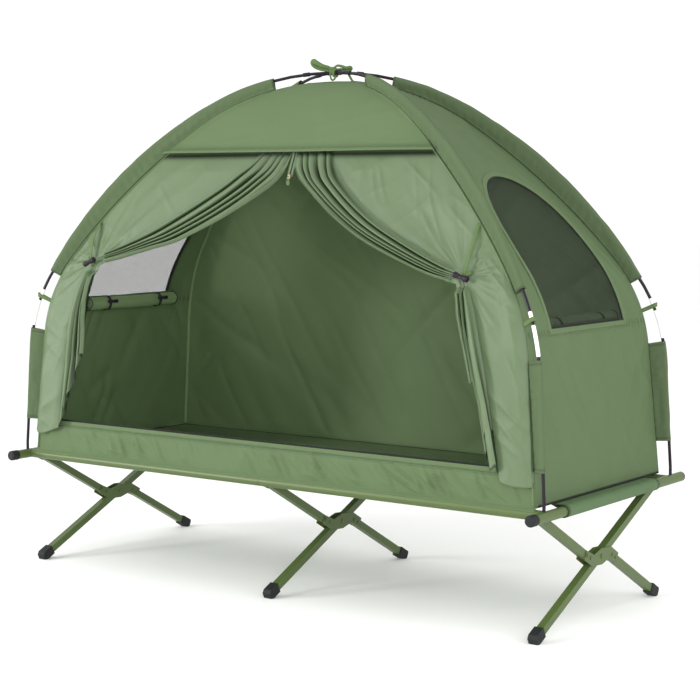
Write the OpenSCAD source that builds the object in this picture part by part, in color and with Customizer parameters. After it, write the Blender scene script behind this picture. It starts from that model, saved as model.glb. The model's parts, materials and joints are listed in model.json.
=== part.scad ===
// Camping cot with a one-person tent standing on it.
// X runs along the bed, Y from the door side to the back, Z up. Millimetres.
// The origin is on the floor, below the middle of the cot.

/* [Cot frame] */
// From the middle to the centre of each end bar
bar_x = 930; // [900:5:960]
// Half the length of an end bar
bar_half = 437; // [430:1:450]
// From the middle to the centre of each side rail
rail_y = 348.6; // [345:0.1:352]
// Height of the rail and bar centres
rail_z = 338; // [334:1:342]
// Outside diameter of the rails and bars
rail_d = 28; // [26:0.5:30]
// Wall of the round tubes
tube_wall = 1.5; // [1.2:0.1:2]
// Length of the inner tube that joins the two halves of a rail
spigot_l = 140; // [100:10:200]
// Half the width of the bed fabric
bed_half = 262; // [240:1:280]

/* [Crossed legs] */
// Width of the square leg tube
leg_w = 21; // [19:0.5:22]
// Wall of the square leg tube
leg_wall = 1.5; // [1.2:0.1:2]
// Angle of the legs above the floor when the cot stands open
leg_angle = 25.3; // [24.5:0.1:26]
// Sideways step of the two short legs at the crossing plates
leg_step = 25; // [24:0.5:28]
// Distance from a rail's centre to its hinge pin
hinge_out = 28; // [27:0.5:32]
// Diameter of the hinge pins
pin_d = 8; // [6:0.5:9]
// Thickness of the steel plates and ears
plate_t = 2.5; // [2:0.5:3]
// Width of a foot cap
foot_w = 27; // [26:1:30]

/* [Tent] */
// Height of the pole crossing
pole_top = 1507; // [1500:1:1515]
// Diameter of the pole rods
pole_d = 9; // [8:0.5:9.5]
// Height of the fabric at the top
fabric_top = 1482; // [1476:1:1486]
// Thickness of a fabric sheet
cloth_t = 2.5; // [2:0.5:3]
// Height of the front sill's top
sill_z = 450; // [430:5:470]
// Height of the roof's front hem
hem_z = 1265; // [1255:1:1275]
// Half the width of a window at its bottom
window_half = 205; // [190:1:210]
// Height of a window's bottom
window_low = 800; // [790:1:810]
// Height of a window's top
window_high = 1203; // [1180:1:1205]

/* [Hidden] */
$fn = 48;

paint = "#6b7f45";
dark_plastic = "#2c2e33";
cloth = "#7c966c";
cloth_light = "#8ba07d";
cloth_shade = "#6e8562";
net = "#50545a";
rod_black = "#231f2a";
rod_white = "#e8e8ea";

// Round tubes
rail_r = rail_d / 2;
bore_r = rail_r - tube_wall;
fit = 0.3;
run = 0.05;
rail_gap = 0.5;

// Leg positions along the rails: left, middle, right
LEG_X = [-892, 20, 892];
hinge_l = rail_y / cos(leg_angle) - hinge_out;
cross_z = rail_z - rail_y * tan(leg_angle);
foot_l = 371.6;
ear_r = 12;
ear_in = leg_w / 2 + fit;
ear_out = ear_in + plate_t;
pin_r = pin_d / 2;
head_r = pin_r + 2.5;
head_t = 2;
rivet_r = 2.5;
// Where the short legs end and where their rivets sit, along the crossing plates
short_end = 42;
RIVETS = [58, 80];

// A point at (u, v) of the crossing plates: u runs from the crossing up to the front hinge
function cross_pt(u, v) = [
    -cos(leg_angle) * u + sin(leg_angle) * v,
    cross_z + sin(leg_angle) * u + cos(leg_angle) * v
];
function upper_step(u) = -leg_step * (1 - u / hinge_l);
function lower_step(u) = leg_step * (1 - u / foot_l);
crossing = [0, cross_z];
leg_dir = [cos(leg_angle), sin(leg_angle)];
rear_hinge = crossing + hinge_l * leg_dir;
front_hinge = [-rear_hinge[0], rear_hinge[1]];
front_foot = crossing - foot_l * leg_dir;
rear_foot = [-front_foot[0], front_foot[1]];

// Tent. All four ridges and poles stand in the upright planes through opposite corners.
plan = 21.3;
foot_s = bar_x / cos(plan);
pole_r = pole_d / 2;
pole_y = foot_s * sin(plan);
pole_foot_z = rail_z - 8;
socket_r = pole_r + 0.5;
tip_z = rail_z + rail_r + 22;
ARC_STEPS = 6;
// Bend radii and the slopes between them, from the top down
POLE_R = [807, 1348, 475];
POLE_A = [0, 28.13, 60.38, 86.65];
RIDGE_R = [726, 2116, 438];
RIDGE_A = [0, 35.1, 50.5, 84.7];
corner_s = 966.7;
wall_foot = 355.5;
hub_s = 25;

function arc_end(p, r, a0, a1) = [p[0] + r * (sin(a1) - sin(a0)), p[1] + r * (cos(a1) - cos(a0))];
function arc_run(p, r, a0, a1) =
    [for (i = [1:ARC_STEPS]) arc_end(p, r, a0, a0 + (a1 - a0) * i / ARC_STEPS)];
pole_p1 = arc_end([0, pole_top], POLE_R[0], POLE_A[0], POLE_A[1]);
pole_p2 = arc_end(pole_p1, POLE_R[1], POLE_A[1], POLE_A[2]);
pole_p3 = arc_end(pole_p2, POLE_R[2], POLE_A[2], POLE_A[3]);
POLE = concat([[0, pole_top]],
    arc_run([0, pole_top], POLE_R[0], POLE_A[0], POLE_A[1]),
    arc_run(pole_p1, POLE_R[1], POLE_A[1], POLE_A[2]),
    arc_run(pole_p2, POLE_R[2], POLE_A[2], POLE_A[3]), [[foot_s, rail_z]]);
ridge_p1 = arc_end([0, fabric_top], RIDGE_R[0], RIDGE_A[0], RIDGE_A[1]);
ridge_p2 = arc_end(ridge_p1, RIDGE_R[1], RIDGE_A[1], RIDGE_A[2]);
RIDGE = concat([[0, fabric_top]],
    arc_run([0, fabric_top], RIDGE_R[0], RIDGE_A[0], RIDGE_A[1]),
    arc_run(ridge_p1, RIDGE_R[1], RIDGE_A[1], RIDGE_A[2]),
    arc_run(ridge_p2, RIDGE_R[2], RIDGE_A[2], RIDGE_A[3]), [[corner_s, wall_foot - 1]]);
function flip(points) = [for (p = points) [p[1], p[0]]];
POLE_BY_Z = flip(POLE);
RIDGE_BY_Z = flip(RIDGE);
function pole_at(z) = lookup(z, POLE_BY_Z);
function ridge_at(z) = lookup(z, RIDGE_BY_Z);
function half_x(z) = ridge_at(z) * cos(plan);
function half_y(z) = ridge_at(z) * sin(plan);
// Ridge heights from low to high, with both ends added
function levels(low, high) = concat([low],
    [for (i = [len(RIDGE) - 1:-1:0]) if (RIDGE[i][1] > low + 4 && RIDGE[i][1] < high - 4) RIDGE[i][1]],
    [high]);

// ---------- shared shapes ----------

// A solid between level rectangles [z, x0, x1, y0, y1], listed from low to high
module level_loft(sections) {
    n = len(sections);
    points = [for (s = sections) each [[s[1], s[3], s[0]], [s[2], s[3], s[0]],
        [s[2], s[4], s[0]], [s[1], s[4], s[0]]]];
    sides = [for (i = [0:n - 2], j = [0:3]) each let (a = 4 * i + j, b = 4 * i + (j + 1) % 4)
        [[a, a + 4, b + 4], [a, b + 4, b]]];
    top = 4 * (n - 1);
    polyhedron(points = points, faces = concat([[0, 1, 2], [0, 2, 3]], sides,
        [[top + 2, top + 1, top], [top + 3, top + 2, top]]));
}

module along_x(x0, x1, r) translate([x0, 0, 0]) rotate([0, 90, 0]) cylinder(r = r, h = x1 - x0);
module along_y(y0, y1, r) translate([0, y0, 0]) rotate([-90, 0, 0]) cylinder(r = r, h = y1 - y0);

// A flat outline in the upright plane of one corner: side_x and side_y pick the corner
module corner_plane(side_x, side_y, thick)
    rotate([0, 0, atan2(side_y * sin(plan), side_x * cos(plan))]) rotate([90, 0, 0])
        translate([0, 0, -thick / 2]) linear_extrude(thick) children();

// ---------- cot frame ----------

module rail_half(y, side) color(paint) difference() {
    translate([0, y, rail_z]) if (side > 0) along_x(rail_gap, bar_x, rail_r);
        else along_x(-bar_x, -rail_gap, rail_r);
    translate([0, y, rail_z]) along_x(-bar_x - 1, bar_x + 1, bore_r);
    translate([side * bar_x, 0, rail_z]) along_y(-bar_half, bar_half, rail_r + fit);
}

module rail_spigot(y) color("silver") translate([0, y, rail_z]) difference() {
    along_x(-spigot_l / 2, spigot_l / 2, bore_r - fit / 3);
    along_x(-spigot_l, spigot_l, bore_r - tube_wall);
}

// Ears that hang from one rail and hold the leg hinges. side is 1 at the back, -1 at the front.
module hinge_ears(side) color(paint)
    for (x = LEG_X, s = [-1, 1]) translate([x + s * (ear_in + plate_t / 2), side * rail_y, rail_z])
        difference() {
            rotate([90, 0, 90]) translate([0, 0, -plate_t / 2]) linear_extrude(plate_t)
                rotate(side > 0 ? 180 + leg_angle : -leg_angle) polygon(concat([[0, -ear_r]],
                    [for (a = [-90:15:90]) [hinge_out + ear_r * cos(a), ear_r * sin(a)]], [[0, ear_r]]));
            along_x(-plate_t, plate_t, rail_r);
            translate([0, side * (rear_hinge[0] - rail_y), rear_hinge[1] - rail_z])
                along_x(-plate_t, plate_t, pin_r);
        }

module headed_pin(r) {
    along_x(-ear_out - head_t, ear_out + head_t, r);
    for (s = [-1, 1]) translate([s * (ear_out + head_t / 2), 0, 0]) along_x(-head_t / 2, head_t / 2, r + 2.5);
}

module hinge_pins(side) color(paint)
    for (x = LEG_X) translate([x, side * rear_hinge[0], rear_hinge[1]]) headed_pin(pin_r);

cap_l = 28;
dome_l = 8;
module end_bar(side) color(paint) translate([side * bar_x, 0, rail_z]) difference() {
    along_y(-bar_half + 3, bar_half - dome_l, rail_r);
    along_y(-bar_half, bar_half, bore_r);
    for (y = [-pole_y, pole_y]) translate([0, y, 0]) cylinder(r = socket_r, h = rail_d);
}

// Front plastic caps slip over the bars, and domed plugs close the bars at the back
module bar_end_caps() for (s = [-1, 1]) translate([s * bar_x, 0, rail_z]) {
    color(dark_plastic) rotate([90, 0, 0]) difference() {
        rotate_extrude() union() {
            translate([0, bar_half - cap_l]) square([rail_r + 1.2, cap_l - 6]);
            translate([0, bar_half - 8]) square([rail_r - 4.8, 8]);
            translate([rail_r - 4.8, bar_half - 6]) intersection() {
                circle(6);
                square(6);
            }
        }
        translate([0, 0, -1]) cylinder(r = rail_r + run, h = bar_half - 2);
    }
    color(paint) rotate([-90, 0, 0]) rotate_extrude() intersection() {
        translate([0, bar_half - 22]) circle(22);
        translate([0, bar_half - dome_l]) square([rail_r, dome_l]);
    }
}

sleeve_t = 2.3;
module bed_fabric() color(cloth_light) {
    bed_low = rail_z + rail_r + 0.2;
    difference() {
        union() {
            translate([-bar_x, -bed_half, bed_low]) cube([2 * bar_x, 2 * bed_half, sleeve_t - 0.2]);
            for (s = [-1, 1]) translate([s * bar_x, 0, rail_z])
                along_y(-bed_half, bed_half, rail_r + fit + sleeve_t);
        }
        for (s = [-1, 1]) translate([s * bar_x, 0, rail_z])
            along_y(-bed_half - 1, bed_half + 1, rail_r + fit);
    }
}

// ---------- crossed legs ----------

// A square tube from p to q in the plane at x. Its p end is round where a hinge pin goes through.
module leg_tube(x, p, q, round_end = false, bores = []) {
    l = norm(q - p);
    in_w = leg_w - 2 * leg_wall;
    translate([x, p[0], p[1]]) rotate([atan2(q[1] - p[1], q[0] - p[0]), 0, 0]) difference() {
        union() {
            translate([-leg_w / 2, 0, -leg_w / 2]) cube([leg_w, l, leg_w]);
            if (round_end) along_x(-leg_w / 2, leg_w / 2, leg_w / 2);
        }
        translate([-in_w / 2, -leg_w, -in_w / 2]) cube([in_w, l + 2 * leg_w, in_w]);
        for (b = bores) translate([0, b[0], 0]) along_x(-leg_w, leg_w, b[1]);
    }
}

module long_leg(i) color(paint)
    leg_tube(LEG_X[i], rear_hinge, front_foot, true, [[0, pin_r + run], [hinge_l, pin_r + run]]);

module short_legs(i) color(paint) {
    top_end = cross_pt(short_end, upper_step(short_end));
    low_end = cross_pt(-short_end, lower_step(short_end));
    top_pitch = hinge_l / norm(front_hinge - cross_pt(0, -leg_step));
    leg_tube(LEG_X[i], front_hinge, top_end, true, concat([[0, pin_r + run]],
        [for (u = RIVETS) [(hinge_l - u) / top_pitch, rivet_r]]));
    leg_tube(LEG_X[i], low_end, rear_foot, false,
        [for (u = RIVETS) [norm(cross_pt(-u, lower_step(u)) - low_end), rivet_r]]);
}

// Outline of a crossing plate, half of it: the other half is the same turned round
PLATE = [[90, -9], [44, -8], [12, 19], [-40, 40], [-90, 36]];
module cross_plates(i) color(paint) for (s = [-1, 1])
    translate([LEG_X[i] + s * (ear_in + plate_t / 2), 0, 0]) difference() {
        rotate([90, 0, 90]) translate([0, 0, -plate_t / 2]) linear_extrude(plate_t)
            polygon(concat([for (p = PLATE) cross_pt(p[0], p[1])], [for (p = PLATE) cross_pt(-p[0], -p[1])]));
        translate([0, 0, cross_z]) along_x(-plate_t, plate_t, pin_r);
        rivet_places() along_x(-plate_t, plate_t, rivet_r);
    }

module rivet_places() for (u = RIVETS, p = [cross_pt(u, upper_step(u)), cross_pt(-u, lower_step(u))])
    translate([0, p[0], p[1]]) children();

module cross_pins() color(paint) for (x = LEG_X) translate([x, 0, cross_z]) headed_pin(pin_r);
module plate_rivets() color(paint) for (x = LEG_X) translate([x, 0, 0]) rivet_places()
    headed_pin(rivet_r);

// A plastic shoe on a leg's end, with a flat sole on the floor. side is 1 at the back.
foot_long = 44;
foot_high = 29;
module shoe(side) {
    toe = 14;
    tube_angle = side < 0 ? leg_angle : leg_angle + asin(leg_step / foot_l);
    translate([-foot_w / 2, 0, 0]) rotate([90, 0, 90]) linear_extrude(foot_w) intersection() {
        translate([-side * front_foot[0], front_foot[1]]) rotate(side < 0 ? tube_angle : 180 - tube_angle)
            polygon([[foot_long - toe, -foot_high / 2], [foot_long - toe, foot_high / 2],
                [2 - toe / 2, foot_high / 2], [-toe, foot_high / 4], [-toe, -foot_high / 4],
                [-10, -foot_high / 2]]);
        translate([-2 * rail_y, 0]) square([4 * rail_y, rail_y]);
    }
}
module front_feet() color(dark_plastic) for (x = LEG_X) difference() {
    translate([x, 0, 0]) shoe(-1);
    leg_block(x, crossing, front_foot);
}
module rear_feet() color(dark_plastic) for (x = LEG_X) difference() {
    translate([x, 0, 0]) shoe(1);
    leg_block(x, cross_pt(-short_end, lower_step(short_end)), rear_foot);
}
// The space a leg tube fills
module leg_block(x, p, q) translate([x, p[0], p[1]]) rotate([atan2(q[1] - p[1], q[0] - p[0]), 0, 0])
    translate([-leg_w / 2 - run, 0, -leg_w / 2 - run])
        cube([leg_w + 2 * run, norm(q - p) + run, leg_w + 2 * run]);

// ---------- tent poles ----------

// A ring stretch in the (s, z) plane: it starts at p with slope a0, bends by radius r down to slope a1
module pole_arc(p, r, a0, a1) translate([p[0] - r * sin(a0), p[1] - r * cos(a0), 0])
    rotate([0, 0, 90 - a1]) rotate_extrude(angle = a1 - a0, $fn = 96) translate([r, 0]) children();

module corner_turn(side_x, side_y)
    rotate([0, 0, atan2(side_y * sin(plan), side_x * cos(plan))]) rotate([90, 0, 0]) children();

// A round rod along points in the (s, z) plane
module rod(path, r) {
    sides = 12;
    last = len(path) - 1;
    function heading(i) = path[min(i + 1, last)] - path[max(i - 1, 0)];
    points = [for (i = [0:last]) let (h = heading(i) / norm(heading(i)), across = [-h[1], h[0]])
        each [for (k = [0:sides - 1]) let (a = 360 * k / sides)
            [path[i][0] + r * cos(a) * across[0], path[i][1] + r * cos(a) * across[1], r * sin(a)]]];
    skin = [for (i = [0:last - 1], k = [0:sides - 1])
        let (a = sides * i + k, b = sides * i + (k + 1) % sides) each [[a, b, b + sides], [a, b + sides, a + sides]]];
    polyhedron(points = points, faces = concat([[for (k = [sides - 1:-1:0]) k]], skin,
        [[for (k = [0:sides - 1]) sides * last + k]]));
}

// The rod runs from its socket in the hub to the top of its metal tip
module pole(side_x, side_y) color(rod_black) corner_turn(side_x, side_y)
    rod(concat([arc_end([0, pole_top], POLE_R[0], 0, asin(hub_s / 2 / POLE_R[0]))],
        [for (p = POLE) if (p[0] > hub_s && p[1] > tip_z) p], [[foot_s, tip_z]]), pole_r);

// Straight tips that drop into the sockets of the end bars
module pole_tips() color(rod_black) for (sx = [-1, 1], sy = [-1, 1])
    translate([sx * bar_x, sy * pole_y, pole_foot_z]) cylinder(r = pole_r, h = tip_z - 0.8 - pole_foot_z);

// White joint tubes over the rods, beside the strap loops
FERRULE_A = [65.2, 79];
module pole_ferrules() color(rod_white) for (sx = [-1, 1], sy = [-1, 1]) corner_turn(sx, sy)
    pole_arc(arc_end(pole_p2, POLE_R[2], POLE_A[2], FERRULE_A[0]), POLE_R[2], FERRULE_A[0], FERRULE_A[1])
        difference() {
            circle(pole_r + 2.1);
            circle(pole_r + 0.9);
        }

hub_r = 7;
module apex_hub() color(rod_black) translate([0, 0, pole_top - 0.3]) difference() {
    for (a = [-plan, plan]) rotate([0, 0, a]) along_x(-hub_s, hub_s, hub_r);
    for (a = [-plan, plan], s = [0, 180]) rotate([0, 0, a + s]) along_x(hub_s / 2 - 2, hub_s + 1, pole_r + 0.4);
}

module capsule(p, q, r) hull() {
    translate(p) sphere(r = r, $fn = 14);
    translate(q) sphere(r = r, $fn = 14);
}
module apex_bow() color(cloth) {
    knot = [0, 0, pole_top + 20];
    translate(knot) sphere(r = 11.5, $fn = 20);
    capsule(knot, knot + [-62, -24, 17], 9);
    capsule(knot, knot + [34, 14, 5], 8);
    for (s = [-1, 1]) capsule(knot + [0, 9 * s, 0], [0, 22 * s, fabric_top + 5], 3);
}

// ---------- tent fabric ----------

// A band between the ridge and the pole, in one corner's plane, from one height to another
module ridge_band(side_x, side_y, low, high, thick, n) {
    zs = [for (i = [0:n]) low + (high - low) * sin(90 * i / n)];
    lift = 22;
    color(cloth) corner_plane(side_x, side_y, thick) polygon(concat(
        [for (z = zs) [ridge_at(z) + 2.5, z]],
        [for (i = [n:-1:0]) let (z = zs[i] + lift * max(0, (zs[i] - 900) / 600))
            [pole_at(z) - pole_r - 3.4 - 26 * pow(max(0, (zs[i] - 700) / 800), 3), z]]));
}
module sleeve(side_x, side_y) ridge_band(side_x, side_y, 905, 1466, 4, 14);
module corner_pockets() for (sx = [-1, 1], sy = [-1, 1]) ridge_band(sx, sy, 450, 735, 4, 6);
module strap_loops() for (sx = [-1, 1], sy = [-1, 1]) ridge_band(sx, sy, 815, 838, 2, 2);

module tent_floor() color(cloth_shade) translate([-half_x(360) + 4, -half_y(360) + 4, 357])
    cube([2 * half_x(360) - 8, 2 * half_y(360) - 8, cloth_t]);

module rear_wall() color(cloth) level_loft([for (z = levels(wall_foot, fabric_top - 4))
    [z, -half_x(z) + 3, half_x(z) - 3, half_y(z) - cloth_t, half_y(z)]]);

module front_sill() color(cloth) level_loft([for (z = [wall_foot, sill_z])
    [z, -half_x(z) + 3, half_x(z) - 3, -half_y(z), -half_y(z) + cloth_t]]);

// The roof's front panel stands a little proud of the curtains at its lower hem
module roof_front() color(cloth) level_loft([for (z = levels(hem_z, fabric_top - 4))
    let (proud = 6 * (fabric_top - z) / (fabric_top - hem_z))
    [z, -half_x(z) + 3, half_x(z) - 3, -half_y(z) - proud, -half_y(z) - proud + cloth_t]]);

module roof_crown() color(cloth) level_loft([for (z = [fabric_top - 3.6, fabric_top])
    [z, -half_x(fabric_top - 4) + 2, half_x(fabric_top - 4) - 2, -half_y(fabric_top - 4), half_y(fabric_top - 4)]]);

// Window outline in the (y, z) plane, made wider or narrower by grow
function window_w(t) = window_half * sqrt(1 - t * t * t * t);
module window_block(grow) {
    n = 12;
    high = window_high - window_low;
    wider = 1 + grow / window_half;
    steps = [for (i = [0:n]) sin(90 * i / n)];
    rotate([90, 0, 90]) linear_extrude(bar_x) polygon(concat(
        [for (t = steps) [window_w(t) * wider, window_low - grow + (high + 2 * grow) * t]],
        [for (i = [n - 1:-1:0]) [-window_w(steps[i]) * wider, window_low - grow + (high + 2 * grow) * steps[i]]]));
}
module end_sheet(inset, thick) level_loft([for (z = levels(wall_foot, fabric_top - 4))
    [z, half_x(z) - inset - thick, half_x(z) - inset, -half_y(z) + 3.5, half_y(z) - 3.5]]);
module end_wall() difference() {
    end_sheet(0, cloth_t);
    window_block(0);
}
module window_mesh() intersection() {
    end_sheet(0.7, 1);
    window_block(-0.5);
}
module left_end_wall() color(cloth_shade) mirror([1, 0, 0]) end_wall();
module right_end_wall() color(cloth_shade) end_wall();
module left_window_mesh() color(net) mirror([1, 0, 0]) window_mesh();
module right_window_mesh() color(net) window_mesh();

roll_r = 24;
roll_z = 806;
roll_half = 208;
roll_x = half_x(roll_z + roll_r) - roll_r - 4;
module window_roll(side) color(cloth_shade) translate([side * roll_x, 0, roll_z])
    along_y(-roll_half, roll_half, roll_r);

// Inner edge of each gathered curtain, as x by height
EDGE_LEFT = [[412, -800], [470, -768], [578, -722], [675, -685], [900, -690], [951, -675],
    [988, -420], [1062, -214], [1136, -90], [1240, -12]];
EDGE_RIGHT = [[412, 812], [470, 766], [634, 732], [671, 705], [905, 700], [937, 640],
    [989, 410], [1037, 295], [1111, 178], [1240, 12]];
tie_z = 925;
// The tail of a curtain hangs in front of the sill. Above the tie it lies in the front plane.
function hang(z) = z < tie_z ? 14 : max(0, 14 - (z - tie_z) / 5);
module curtain(edge, side) color(cloth_light) level_loft([for (z = concat(
        [412, 470, 578, 671, 800, 900], [937], [988, 1037, 1111, 1180, 1240]))
    let (inner = lookup(z, edge), outer = side * (half_x(z) - 8), y = -half_y(z) - hang(z))
    [z, min(inner, outer), max(inner, outer), y, y + (z < tie_z ? 10 : 3)]]);

toggle_r = 7;
toggle_l = 46;
toggle_y = -half_y(940) - 26;
TOGGLES = [[-678, 945], [660, 938]];
TOGGLE_TILT = [-22, 17];
cord_r = 1.5;
// A barrel along X with a cord hole through its middle, along Y
module barrel(r, l) difference() {
    rotate([0, 90, 0]) rotate_extrude() union() {
        translate([0, -l / 2 + 3]) square([r, l - 6]);
        translate([0, -l / 2]) square([r - 2.5, l]);
    }
    along_y(-2 * r, 2 * r, cord_r + 0.3);
}
module door_toggle(i) color(rod_black) translate([TOGGLES[i][0], toggle_y, TOGGLES[i][1]])
    rotate([0, TOGGLE_TILT[i], 0]) barrel(toggle_r, toggle_l);
// Straps that hold the curtains, and the cords that the toggles turn on
module curtain_ties() color(cloth) for (i = [0, 1]) {
    s = i == 0 ? -1 : 1;
    translate([TOGGLES[i][0], toggle_y, TOGGLES[i][1]]) along_y(-toggle_r - 1, toggle_r + 0.6, cord_r);
    hull() {
        translate([TOGGLES[i][0], toggle_y + toggle_r + 1.6, TOGGLES[i][1]]) cube([14, 2, 6], center = true);
        translate([s * (half_x(1060) - 14), -half_y(1060) - 8, 1060]) cube([16, 2, 6], center = true);
    }
}
roll_toggle_l = 40;
ROLL_TOGGLE_Y = [-118, 118];
module at_roll_toggle(i) translate([-roll_x + roll_r + 8, ROLL_TOGGLE_Y[i], roll_z + 4]) children();
module roll_toggle(i) color(dark_plastic) at_roll_toggle(i) rotate([0, 0, 90]) barrel(6, roll_toggle_l);
module roll_cords() color(cloth) for (i = [0, 1]) at_roll_toggle(i) along_x(-7.8, 7, cord_r);

// The puller hangs from its slider, in front of the curtains
puller_x = 12;
puller_z = 1200;
module zip_puller() color("#b08d57") translate([puller_x, -half_y(puller_z) - 14, puller_z]) difference() {
    union() {
        translate([-4, -1.5, -25]) cube([8, 3, 25]);
        rotate([-90, 0, 0]) translate([0, 0, -1.5]) cylinder(r = 5, h = 3);
    }
    rotate([-90, 0, 0]) translate([0, 0, -2]) cylinder(r = 2, h = 4);
}

rail_half(-rail_y, -1);  // front_rail_left
rail_half(-rail_y, 1);  // front_rail_right
rail_spigot(-rail_y);  // front_rail_spigot
hinge_ears(-1);  // front_hinge_ears
hinge_pins(-1);  // front_hinge_pins
end_bar(-1);  // head_bar
end_bar(1);  // foot_bar
bar_end_caps();
bed_fabric();
rail_half(rail_y, -1);  // rear_rail_left
rail_half(rail_y, 1);  // rear_rail_right
rail_spigot(rail_y);  // rear_rail_spigot
hinge_ears(1);  // rear_hinge_ears
hinge_pins(1);  // rear_hinge_pins
long_leg(0);  // long_leg_left
long_leg(1);  // long_leg_middle
long_leg(2);  // long_leg_right
front_feet();
short_legs(0);  // short_legs_left
short_legs(1);  // short_legs_middle
short_legs(2);  // short_legs_right
cross_plates(0);  // cross_plates_left
cross_plates(1);  // cross_plates_middle
cross_plates(2);  // cross_plates_right
cross_pins();
plate_rivets();
rear_feet();
pole(-1, -1);  // pole_front_left
pole(1, -1);  // pole_front_right
pole(-1, 1);  // pole_rear_left
pole(1, 1);  // pole_rear_right
pole_tips();
pole_ferrules();
apex_hub();
apex_bow();
sleeve(-1, -1);  // sleeve_front_left
sleeve(1, -1);  // sleeve_front_right
sleeve(-1, 1);  // sleeve_rear_left
sleeve(1, 1);  // sleeve_rear_right
corner_pockets();
strap_loops();
tent_floor();
front_sill();
rear_wall();
roof_front();
roof_crown();
left_end_wall();
right_end_wall();
left_window_mesh();
right_window_mesh();
window_roll(-1);  // left_window_roll
window_roll(1);  // right_window_roll
curtain(EDGE_LEFT, -1);  // curtain_left
curtain(EDGE_RIGHT, 1);  // curtain_right
curtain_ties();
roll_cords();
door_toggle(0);  // door_toggle_left
door_toggle(1);  // door_toggle_right
roll_toggle(0);  // roll_toggle_front
roll_toggle(1);  // roll_toggle_rear
zip_puller();
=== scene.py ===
"""Looks of the camping cot with the tent on it. Metres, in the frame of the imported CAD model."""

import json
import math

import bpy
import numpy as np
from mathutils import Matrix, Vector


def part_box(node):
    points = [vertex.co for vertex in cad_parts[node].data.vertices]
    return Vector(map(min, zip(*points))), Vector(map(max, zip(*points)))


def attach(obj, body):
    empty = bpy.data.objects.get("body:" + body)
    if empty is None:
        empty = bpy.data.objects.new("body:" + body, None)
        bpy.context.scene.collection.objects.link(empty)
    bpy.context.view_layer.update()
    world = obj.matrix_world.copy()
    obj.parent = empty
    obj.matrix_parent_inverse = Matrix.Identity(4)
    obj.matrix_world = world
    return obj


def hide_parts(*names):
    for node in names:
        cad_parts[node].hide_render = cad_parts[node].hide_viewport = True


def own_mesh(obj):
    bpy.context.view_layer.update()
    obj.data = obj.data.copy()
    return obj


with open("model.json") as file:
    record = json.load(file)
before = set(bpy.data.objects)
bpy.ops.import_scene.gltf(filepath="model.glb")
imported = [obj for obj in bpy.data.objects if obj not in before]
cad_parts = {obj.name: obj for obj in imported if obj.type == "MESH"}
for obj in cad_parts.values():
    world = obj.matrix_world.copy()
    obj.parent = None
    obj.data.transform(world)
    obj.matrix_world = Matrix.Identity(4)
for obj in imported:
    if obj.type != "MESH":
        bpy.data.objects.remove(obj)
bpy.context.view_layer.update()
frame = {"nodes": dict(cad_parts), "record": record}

# ---------- camera, floor and light ----------

EYE = (3.1142, -4.207, 1.1654)
TURN = math.radians(35.975)  # to the left of straight ahead
DOWN = math.radians(5.222)

camera = bpy.data.objects.new("camera", bpy.data.cameras.new("camera"))
camera.data.sensor_width = 36
camera.data.lens = 90.45
camera.data.clip_end = 200
camera.location = EYE
camera.rotation_euler = (math.pi / 2 - DOWN, 0, TURN)
bpy.context.scene.collection.objects.link(camera)
bpy.context.scene.camera = camera

scene = bpy.context.scene
scene.view_settings.view_transform = "Standard"
world = bpy.data.worlds.new("studio")
world.use_nodes = True
world.node_tree.nodes["Background"].inputs["Color"].default_value = (1, 1, 1, 1)
world.node_tree.nodes["Background"].inputs["Strength"].default_value = 1.08
scene.world = world


def area_light(name, place, target, size, power):
    """A soft square lamp that points from place to target."""
    light = bpy.data.lights.new(name, "AREA")
    light.size = size
    light.energy = power
    lamp = bpy.data.objects.new(name, light)
    lamp.location = place
    way = np.array(target, float) - np.array(place, float)
    yaw = math.atan2(way[1], way[0])
    tilt = math.acos(way[2] / np.linalg.norm(way))
    lamp.rotation_euler = (0, math.pi + tilt, yaw)
    scene.collection.objects.link(lamp)
    return lamp


area_light("key", (-3.4, -4.6, 4.2), (0, 0, 0.8), 2.0, 100)
area_light("low_left", (-4.5, -5.0, 1.4), (0.3, 0, 0.7), 1.2, 235)
area_light("low_right", (3.8, -4.4, 1.6), (-0.3, 0, 0.7), 1.4, 130)
area_light("side", (5.2, -0.6, 2.2), (0, 0, 0.7), 2.4, 70)

# ---------- measures of the tent, from the frame ----------

LOOK = {}
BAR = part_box("foot_bar")
BAR_X = 0.5 * (BAR[0].x + BAR[1].x)
BAR_Z = 0.5 * (BAR[0].z + BAR[1].z)
BAR_R = 0.014
ROD = 0.0045
PLAN = math.atan2(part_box("pole_tips")[1].y - ROD, BAR_X)
ALONG = math.cos(PLAN)
ACROSS = math.sin(PLAN)
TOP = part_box("roof_crown")[1].z
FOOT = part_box("rear_wall")[0].z
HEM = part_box("roof_front")[0].z
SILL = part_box("front_sill")[1].z
PANEL_TOP = TOP - 0.004  # where the panels stop under the crown patch
POLE_TOP = TOP + 0.025
CLOTH = 0.0009  # thickness of the tent cloth
WINDOW_LOW = 0.800
WINDOW_HIGH = 1.203
WINDOW_HALF = 0.205

# Each bend: its radius, and the slope in degrees where it starts and ends
RIDGE_BENDS = ((0.726, 0, 35.1), (2.116, 35.1, 50.5), (0.438, 50.5, 84.7))
POLE_BENDS = ((0.807, 0, 28.13), (1.348, 28.13, 60.38), (0.475, 60.38, 86.65))


def chain(top, bends, end):
    """Points (distance from the middle, height) along arcs that start level at the top."""
    points = [(0.0, top)]
    for radius, first, last in bends:
        s, z = points[-1]
        for k in range(1, 25):
            a, b = math.radians(first), math.radians(first + (last - first) * k / 24)
            ahead = radius * (math.sin(b) - math.sin(a))
            down = radius * (math.cos(b) - math.cos(a))
            points.append((s + ahead, z + down))
    points.append(end)
    return np.array(points)


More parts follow.
